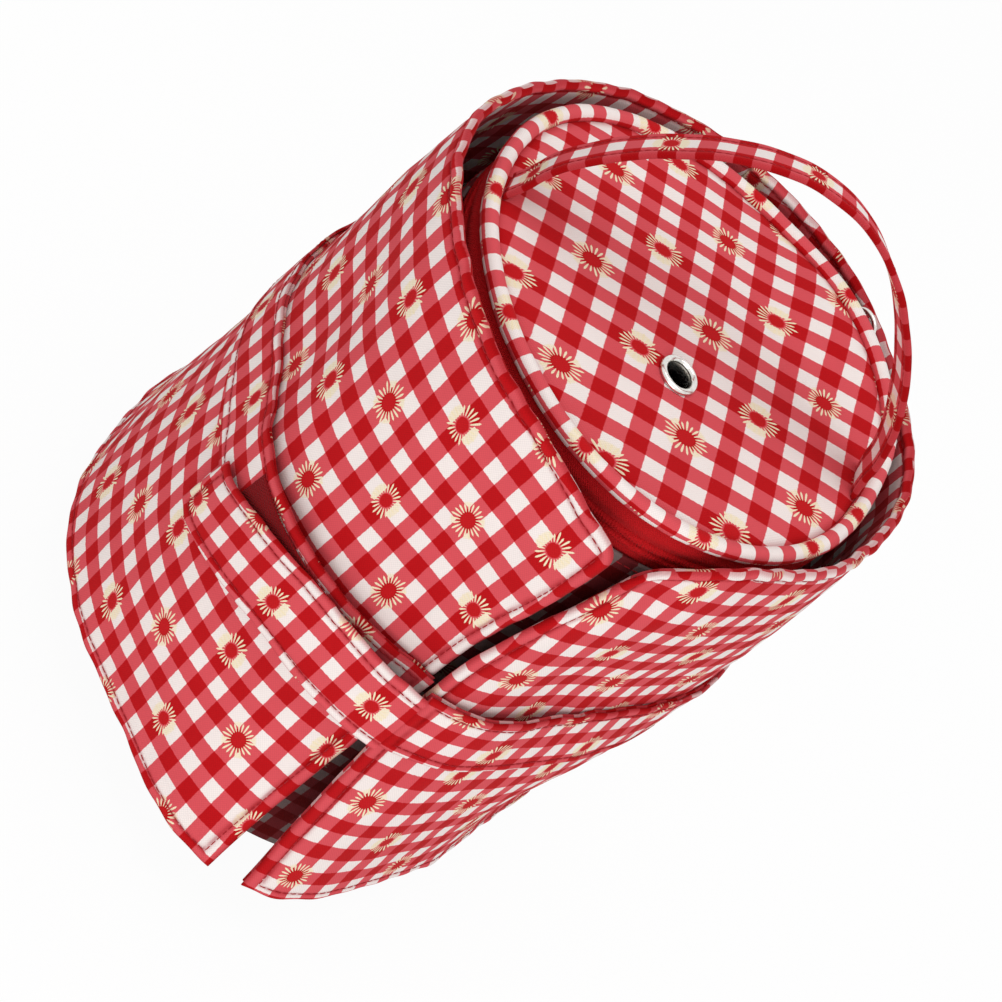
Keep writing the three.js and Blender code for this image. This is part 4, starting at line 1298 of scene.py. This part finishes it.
def zip_tape(name, body, nodes, low, high, way):
    """Tape round the rim, from the cloth hinge's one end to its other: a ribbed bead stands out over the
    coil, and the upper tape bulges under the piping and follows the lid's uneven rim."""
    start, stop = HINGE_AZ + HINGE_HALF - 360, HINGE_AZ - HINGE_HALF
    length = np.radians(stop - start) * TAPE_R
    share = np.linspace(0, 1, 2 * int(length / 0.55))
    arc, az = share * length, mix(start, stop, share)
    rows = np.concatenate([[0, 0.15, 0.4], np.linspace(0.7, 3.1, 9), np.linspace(3.6, high - low - 0.5, 9),
                           [high - low - 0.15, high - low]])
    z = high - rows if way > 0 else low + rows
    bead = np.exp(-((rows - COIL_AT) / COIL_WIDE) ** 4)[None]
    rib = np.cos(2 * np.pi * (arc[:, None] / COIL_PITCH + 0.35 * rows[None] + 0.25 * way))
    bulge = UPPER_BULGE * np.exp(-((rows - 6.4) / 2.4) ** 2)[None] * (way < 0)
    fade = smooth(0, 3, arc) * smooth(0, 3, length - arc)
    radius = TAPE_R - TAPE_T / 2 + (COIL_HIGH + COIL_RIB * rib) * bead * fade[:, None] + bulge
    radius = radius + waver(TAPE_WAVE, arc, 0 * arc)[:, None]
    out, up = rim_shift(az[:, None])
    carried = np.clip((z - ZIP_Z - 2) / (PIPING_Z - ZIP_Z - 2), 0, 1)[None]
    middle = polar(radius + out * carried, az[:, None], z[None] + up * carried)
    edge = np.minimum(rows, high - low - rows)[None] + 0 * arc[:, None]
    edge = np.minimum(edge, np.minimum(arc, length - arc)[:, None])
    uv = np.stack([arc[:, None] + 0 * rows[None], rows[None] + 0 * arc[:, None]], -1) * MM
    tape = closed_sheet(name, middle, TAPE_T / 2 * rim(edge, 0.35), uv, zip_cloth())
    fit(tape, body, "zip_tape", *nodes)


def lid_hinge():
    """Cloth between the bag and the lid at the back: a strip round the rim, bulged by half a sine wave, its
    upper edge following the lid's rim."""
    width = np.radians(2 * HINGE_HALF - 2) * HINGE_R
    share, rise = np.meshgrid(lines(width, 1.6) / width, np.linspace(0, 1, 34), indexing="ij")
    az = mix(HINGE_AZ - HINGE_HALF + 1, HINGE_AZ + HINGE_HALF - 1, share)
    z = mix(TAPE_LOW_Z, TAPE_LOW_Z + HINGE_TALL, rise)
    radius = HINGE_R - 0.4 + waver(HINGE_WAVE, share * width, z) + 0.4 * np.sin(np.pi * rise)
    out, up = rim_shift(az)
    radius, z = radius + out * rise ** 2, z + up * rise ** 2
    edge = np.minimum(np.minimum(share, 1 - share) * width, np.minimum(rise, 1 - rise) * HINGE_TALL)
    uv = np.stack([share * width, z], -1) / CHECK
    hinge = closed_sheet("lid_hinge_cloth", polar(radius, az, z), 0.55 * rim(edge, 0.55), uv, print_cloth())
    axis = polar(80.0, HINGE_AZ, 0.0) * MM
    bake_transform(hinge)
    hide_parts("lid_hinge_strip")


class HOOKCASE_OT_zip(bpy.types.Operator):
    """Zip tapes with ribbed rows over the coil, the stitches under them, and the cloth hinge at the back."""
    bl_idname = "hookcase.zip"
    bl_label = "Zip"

    def execute(self, context):
        """Makes both tapes, a ring of stitches round the bag's rim, and the hinge."""
        zip_tape("zip_tape_below", "bag", ("zip_tape_lower", "zip_coil_lower"), TAPE_LOW_Z, ZIP_Z - 0.1, 1)
        zip_tape("zip_tape_above", "lid", ("zip_tape_upper", "zip_coil_upper"), ZIP_Z + 0.1, TAPE_HIGH_Z, -1)
        az = np.linspace(0, 360, 420)
        z = BAG_TOP_Z - 3.0
        points = polar(bag_radius(z) + 0.1, az, z + 0 * az)
        stitches = stitch_rows("bag_rim_stitches", [(points, unit(points * [1, 1, 0]))], thread())
        fit(stitches, "bag", "outer_cloth")
        lid_hinge()
        return {"FINISHED"}


# Slider
BODY_TALL, BODY_HALF, BODY_THICK, BODY_BEVEL = 8.1, 5.2, 2.2, 0.6
BODY_R = 84.0
RING_R, EYE_Z, EYE_HOLE, BAIL_THICK = 87.1, 231.65, 1.15, 1.9
# Outline of the bail: radius from the bag's axis and height
BAIL = ((84.95, 224.6), (86.2, 226.6), (88.0, 228.6), (88.75, 230.3), (88.9, 231.6), (88.5, 232.9),
        (87.1, 233.5), (85.9, 233.0), (85.3, 231.8), (85.1, 229.4), (84.9, 227.0))
# Cross-section of the bail: share from its hole to its outline, and place through its thickness
BAIL_SECTION = (
    (0, -0.7), (0, 0.7), (0.15, 0.9), (0.85, 0.9), (1, 0.7), (1, -0.7), (0.85, -0.9), (0.15, -0.9),
)
PULL_R, WIRE_R = 6.2, 0.8


def rounded_plate(outline, depth, bevel, place, name):
    """Plate with rounded edges: an outline of (x, y) points drawn in by a quarter circle near both faces, put
    in place by a function."""
    centre = outline.mean(0)
    steps = np.radians(np.array([90, 60, 30, 0]))
    inset, level = bevel * (1 - np.cos(steps)), bevel * np.sin(steps)
    reach = np.linalg.norm(outline - centre, axis=1).mean()
    layers = [(inset[k], -depth / 2 + bevel - level[k]) for k in range(4)]
    layers += [(inset[k], depth / 2 - bevel + level[k]) for k in range(3, -1, -1)]
    rings = np.stack([
        np.concatenate([centre + (outline - centre) * (1 - d / reach), np.full((len(outline), 1), w)], 1)
        for d, w in layers], 1)
    quads, _ = lattice(len(outline), len(layers), True)
    ends = np.arange(len(outline)) * len(layers)
    faces = [quads, ends[None, ::-1], ends[None] + len(layers) - 1]
    return make_piece(name, place(rings.reshape(-1, 3)), faces, no_print(faces), nickel())


class HOOKCASE_OT_slider(bpy.types.Operator):
    """Zip slider with its bail and pull ring."""
    bl_idname = "hookcase.slider"
    bl_label = "Zip Slider"

    def execute(self, context):
        """Makes the body as a plate with a pinched, rounded outline, the bail as a flat band round its hole,
        and the ring as a circle carried round a circle."""
        az = math.radians(SLIDER_AZ)
        radial = np.array([math.cos(az), math.sin(az), 0])
        tangent = np.array([-math.sin(az), math.cos(az), 0])
        up = np.array([0, 0, 1.0])
        t = np.radians(np.arange(48) * 7.5)
        wide = BODY_HALF * np.sign(np.cos(t)) * np.abs(np.cos(t)) ** 0.55
        high = BODY_TALL / 2 * np.sign(np.sin(t)) * np.abs(np.sin(t)) ** 0.6
        pinch = 1 - 0.16 * (high / (BODY_TALL / 2)) ** 2
        wide = wide * pinch * np.where(high < 0, 1 + 0.1 * high / BODY_TALL, 1)
        body = rounded_plate(
            np.stack([wide, high], 1), BODY_THICK, BODY_BEVEL,
            lambda p: radial * (BODY_R + p[:, 2:]) + tangent * p[:, :1] + up * (ZIP_Z + p[:, 1:2]),
            "zip_slider_body")
        fit(body, "slider", "nickel", "zip_slider")

        eye, outer, section = np.array([RING_R, EYE_Z]), np.array(BAIL), np.array(BAIL_SECTION)
        heading = np.arctan2(*(outer - eye).T[::-1])
        order = np.argsort(heading)
        fine = np.radians(np.arange(60) * 6.0 - 180)
        reach = np.interp(fine, heading[order], np.linalg.norm(outer - eye, axis=1)[order], period=2 * np.pi)
        loop = np.stack([np.cos(fine), np.sin(fine)], 1)
        flat = eye + loop[:, None] * mix(EYE_HOLE, reach[:, None], section[None, :, 0])[..., None]
        thick = np.broadcast_to(section[None, :, 1], flat.shape[:2]) * BAIL_THICK / 1.8
        rings = radial * flat[..., :1] + up * flat[..., 1:] + tangent * thick[..., None]
        bail = closed_tube("slider_bail_loop", rings, nickel())
        fit(bail, "slider", "nickel", "slider_bail")

        around, across = np.radians(np.arange(64) * 5.625), np.radians(np.arange(12) * 30.0)
        reach = PULL_R + WIRE_R * np.cos(across)[None]
        aside, rise = reach * np.sin(around)[:, None], reach * np.cos(around)[:, None]
        rings = radial * (RING_R + WIRE_R * np.sin(across))[None, :, None]
        rings = rings + tangent * aside[..., None] + up * (EYE_Z + PULL_R + rise)[..., None]
        ring = closed_tube("zip_pull_ring", rings, nickel())
        fit(ring, "pull", "nickel", "zip_pull")
        return {"FINISHED"}


class HOOKCASE_OT_handle(bpy.types.Operator):
    """Strap handle folded in three and topstitched, sewn into the lid's rim at both ends."""
    bl_idname = "hookcase.handle"
    bl_label = "Handle"

    def arch(self, span, tall):
        """Side view of the strap at even steps of its length: a power of half a sine wave between the feet,
        skewed and bulged along the chord. Returns places along the chord and up, and the steps."""
        s = np.linspace(0, 1, 140)
        inset = STRAP_T / 2 + SEAM_GAP
        rise = tall - (PIVOT_Z - LID_Z) + STRAP_BELOW
        hump = np.sin(np.pi * s)
        q = inset + (span - 2 * inset) * (0.5 - 0.5 * np.cos(np.pi * s))
        q = q + STRAP_SKEW * hump ** 2 - STRAP_BULGE * np.sin(2 * np.pi * s) * hump
        v = rise * hump ** ARCH_POWER - STRAP_BELOW
        foot = np.array(STRAP_FOOT)
        line = np.concatenate([foot, np.stack([q, v], 1), (foot * [-1, 1] + [span, 0])[::-1]])
        gone = np.concatenate([[0], np.cumsum(np.linalg.norm(np.diff(line, axis=0), axis=1))])
        arc = np.linspace(0, gone[-1], int(gone[-1] / 0.9))
        return np.stack([np.interp(arc, gone, line[:, k]) for k in (0, 1)], 1), arc

    def execute(self, context):
        """Carries the strap's width along its arch, twisted about it, and sews it along both edges."""
        left, right = polar(TAB_R, TAB_LEFT_AZ, 0.0), polar(TAB_R, TAB_RIGHT_AZ, 0.0)
        chord = unit(right - left)
        back = np.array([-chord[1], chord[0], 0])
        lean = math.radians(STRAP_TILT)
        up = back * math.sin(lean) + np.array([0, 0, math.cos(lean)])
        across = np.cross(up, chord)
        tall = context.scene.hook_case_sizes.strap_tall / MM
        line, arc = self.arch(float(np.linalg.norm(right - left)), tall)
        length = arc[-1]
        wide = lines(STRAP_W, 0.8) - STRAP_W / 2
        edge = STRAP_W / 2 - np.abs(wide)
        heading = unit(np.gradient(line, axis=0))
        middle = left + [0, 0, PIVOT_Z] + line[:, None, :1] * chord + line[:, None, 1:] * up
        out = heading[:, 1:] * -chord + heading[:, :1] * up
        twist = np.radians(through(STRAP_TWIST, arc / length, 0.07))[:, None]
        across, out = (across * np.cos(twist) - out * np.sin(twist),
                       out * np.cos(twist) + across * np.sin(twist))
        middle = middle + wide[None, :, None] * across[:, None]
        middle = middle + out[:, None] * waver(STRAP_WAVE, arc[:, None], wide[None])[..., None]
        cut = np.exp(-(((edge - STRAP_SEWN_IN) / 0.55) ** 2))[None]
        cut = cut * (0.85 + waver(STRAP_GROOVE_WAVE, arc, 0 * arc))[:, None]
        free = np.minimum(edge[None] + 0 * arc[:, None], np.minimum(arc, length - arc)[:, None])
        half = STRAP_T / 2 * rim(free, STRAP_T / 2) * (1 - 0.35 * cut)
        u, v = arc[:, None] - STRAP_WHITE + 0 * wide[None], wide[None] + 0 * arc[:, None]
        # Painted shade: darker in the stitched grooves and along the folded edges.
        seam = np.clip(0.9 * cut + edge_shade(free), 0, 1)
        strap = closed_sheet(
            "handle_strap_cloth", middle, half, np.stack([u, v], -1) / STRAP_CHECK, print_cloth(), seam=seam)
        normal, k = sheet_normals(middle), EDGE_LINES.index(STRAP_SEWN_IN)
        runs = [((middle + way * normal * (half[..., None] + 0.05))[:, row], way * normal[:, row])
                for row in (k, len(wide) - 1 - k) for way in (1, -1)]
        stitches = stitch_rows("handle_stitches", runs, thread(), *STRAP_STITCHES)
        for piece in (strap, stitches):
            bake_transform(piece)
        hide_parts("handle_strap", "handle_tab_left", "handle_tab_right")
        return {"FINISHED"}


class HOOKCASE_OT_boards(bpy.types.Operator):
    """Finish of the stiffening boards in the base and the lid, whose solids stay as they are."""
    bl_idname = "hookcase.boards"
    bl_label = "Stiffening Boards"

    def execute(self, context):
        """Gives both boards their material."""
        for name in ("base_board", "lid_board"):
            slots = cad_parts[name].data.materials
            slots.clear()
            slots.append(once("Stiffening Board", stiffening_board))
        return {"FINISHED"}


# Stage
CAMERA_PLACE = (-0.0030, -0.5719, 0.6531)
CAMERA_TURN = (33.7596, -35.5627, 40.1584)
LENS, SENSOR = 79.042, 36.0
FLOOR_HALF, FLOOR_Z = 6.0, -0.0002
FLOOR_GLOW = 0.95
# The camera's right, up and backward directions, which the lamps are placed along from the bag's middle
VIEW_RIGHT = np.array([0.62171, 0.52462, 0.58159])
VIEW_UP = np.array([-0.78316, 0.42696, 0.45206])
VIEW_NEAR = np.array([-0.01116, -0.73653, 0.67631])
LIT_POINT = np.array([0.0, 0.0, 0.14])
# Of each lamp, in metres: its side, and its place to the right, up and toward the camera
KEY_LAMP = (0.8, 0.64, 0.5, 0.75)
FILL_LAMP = (0.7, -0.22, -0.58, 1.02)


def background_rays(tree):
    """1 for rays that see the background, from the camera or by gloss or transmission, and 0 for those that
    light the object."""
    path = add_node(tree, "ShaderNodeLightPath").outputs
    return calc(tree, "MAXIMUM", path["Is Camera Ray"],
                calc(tree, "MAXIMUM", path["Is Glossy Ray"], path["Is Transmission Ray"]))


class HOOKCASE_OT_stage(bpy.types.Operator):
    """Camera, floor, lamps and background."""
    bl_idname = "hookcase.stage"
    bl_label = "Stage"

    def execute(self, context):
        """Makes them all and sets the plain view transform."""
        scene = context.scene
        look = scene.hook_case_stage
        eye = bpy.data.cameras.new("Camera")
        eye.sensor_width, eye.lens = SENSOR, LENS
        eye.clip_start, eye.clip_end = 0.05, 20.0
        camera = bpy.data.objects.new("Camera", eye)
        camera.location = CAMERA_PLACE
        camera.rotation_euler = [math.radians(a) for a in CAMERA_TURN]
        scene.collection.objects.link(camera)
        scene.camera = camera
        scene.view_settings.view_transform = "Standard"
        self.make_floor(scene, look)

        world = bpy.data.worlds.new("Studio")
        scene.world = world
        world.use_nodes = True
        tree = world.node_tree
        seen = calc(tree, "MULTIPLY", background_rays(tree), 1.0 - look.sky)
        tree.links.new(calc(tree, "ADD", seen, look.sky), tree.nodes["Background"].inputs["Strength"])
        tree.nodes["Background"].inputs["Color"].default_value = (1, 1, 1, 1)
        self.add_lamp(scene, "Key", look.key, *KEY_LAMP)
        self.add_lamp(scene, "Fill", look.fill, *FILL_LAMP)
        return {"FINISHED"}

    def make_floor(self, scene, look):
        """Square floor just under the bag, nearly white where the background is seen, that keeps a shadow."""
        material, tree, shader = new_material("Floor")
        tree.nodes.remove(shader)
        soft = add_node(tree, "ShaderNodeBsdfDiffuse", [("Color", look.floor)])
        bright = add_node(tree, "ShaderNodeEmission", [("Color", (1, 1, 1, 1)), ("Strength", 1.0)])
        share = calc(tree, "MULTIPLY", background_rays(tree), FLOOR_GLOW)
        sockets = [("Fac", share), (1, soft.outputs[0]), (2, bright.outputs[0])]
        both = add_node(tree, "ShaderNodeMixShader", sockets)
        tree.links.new(both.outputs[0], tree.nodes["Material Output"].inputs["Surface"])
        mesh = bpy.data.meshes.new("floor")
        corners = [(x * FLOOR_HALF, y * FLOOR_HALF, FLOOR_Z) for x, y in ((-1, -1), (1, -1), (1, 1), (-1, 1))]
        mesh.from_pydata(corners, [], [(0, 1, 2, 3)])
        mesh.materials.append(material)
        floor = bpy.data.objects.new("floor", mesh)
        scene.collection.objects.link(floor)

    def add_lamp(self, scene, name, power, size, side, rise, near):
        """Soft square lamp, placed in metres from the bag's middle as the camera sees it, and aimed there."""
        lamp = bpy.data.lights.new(name, "AREA")
        lamp.energy, lamp.size = power, size
        place = LIT_POINT + VIEW_RIGHT * side + VIEW_UP * rise + VIEW_NEAR * near
        holder = bpy.data.objects.new(name, lamp)
        holder.location = place
        holder.rotation_mode = "QUATERNION"
        holder.rotation_quaternion = (Vector(LIT_POINT) - Vector(place)).to_track_quat("-Z", "Y")
        scene.collection.objects.link(holder)


OPERATORS = (
    HOOKCASE_OT_stage,
    HOOKCASE_OT_bag,
    HOOKCASE_OT_zip,
    HOOKCASE_OT_slider,
    HOOKCASE_OT_lid,
    HOOKCASE_OT_eyelet,
    HOOKCASE_OT_handle,
    HOOKCASE_OT_case_panels,
    HOOKCASE_OT_case_pockets,
    HOOKCASE_OT_closure_belt,
    HOOKCASE_OT_boards,
)
GROUPS = (
    (SewnSizes, "hook_case_sizes"),
    (ClothLook, "hook_case_cloth"),
    (MetalLook, "hook_case_metal"),
    (StageLook, "hook_case_stage"),
)


class HOOKCASE_PT_sidebar(bpy.types.Panel):
    """Buttons for the pieces, and their sizes and colours."""
    bl_idname = "HOOKCASE_PT_sidebar"
    bl_label = "Hook Case"
    bl_space_type = "VIEW_3D"
    bl_region_type = "UI"
    bl_category = "Hook Case"

    def draw(self, context):
        """Lists every size and colour, and a button for each operator."""
        for _, name in GROUPS:
            group = getattr(context.scene, name)
            box = self.layout.box()
            for key in group.__annotations__:
                box.prop(group, key)
        for operator in OPERATORS:
            self.layout.operator(operator.bl_idname)


def register():
    """Adds the property groups, operators and panel to Blender."""
    for group, name in GROUPS:
        bpy.utils.register_class(group)
        setattr(bpy.types.Scene, name, PointerProperty(type=group))
    for each in (*OPERATORS, HOOKCASE_PT_sidebar):
        bpy.utils.register_class(each)


def unregister():
    """Takes them away again, the last one first."""
    for each in reversed((*OPERATORS, HOOKCASE_PT_sidebar)):
        bpy.utils.unregister_class(each)
    for group, name in reversed(GROUPS):
        delattr(bpy.types.Scene, name)
        bpy.utils.unregister_class(group)


def main():
    register()
    for operator in OPERATORS:
        area, name = operator.bl_idname.split(".")
        getattr(getattr(bpy.ops, area), name)()


if __name__ == "__main__":
    main()
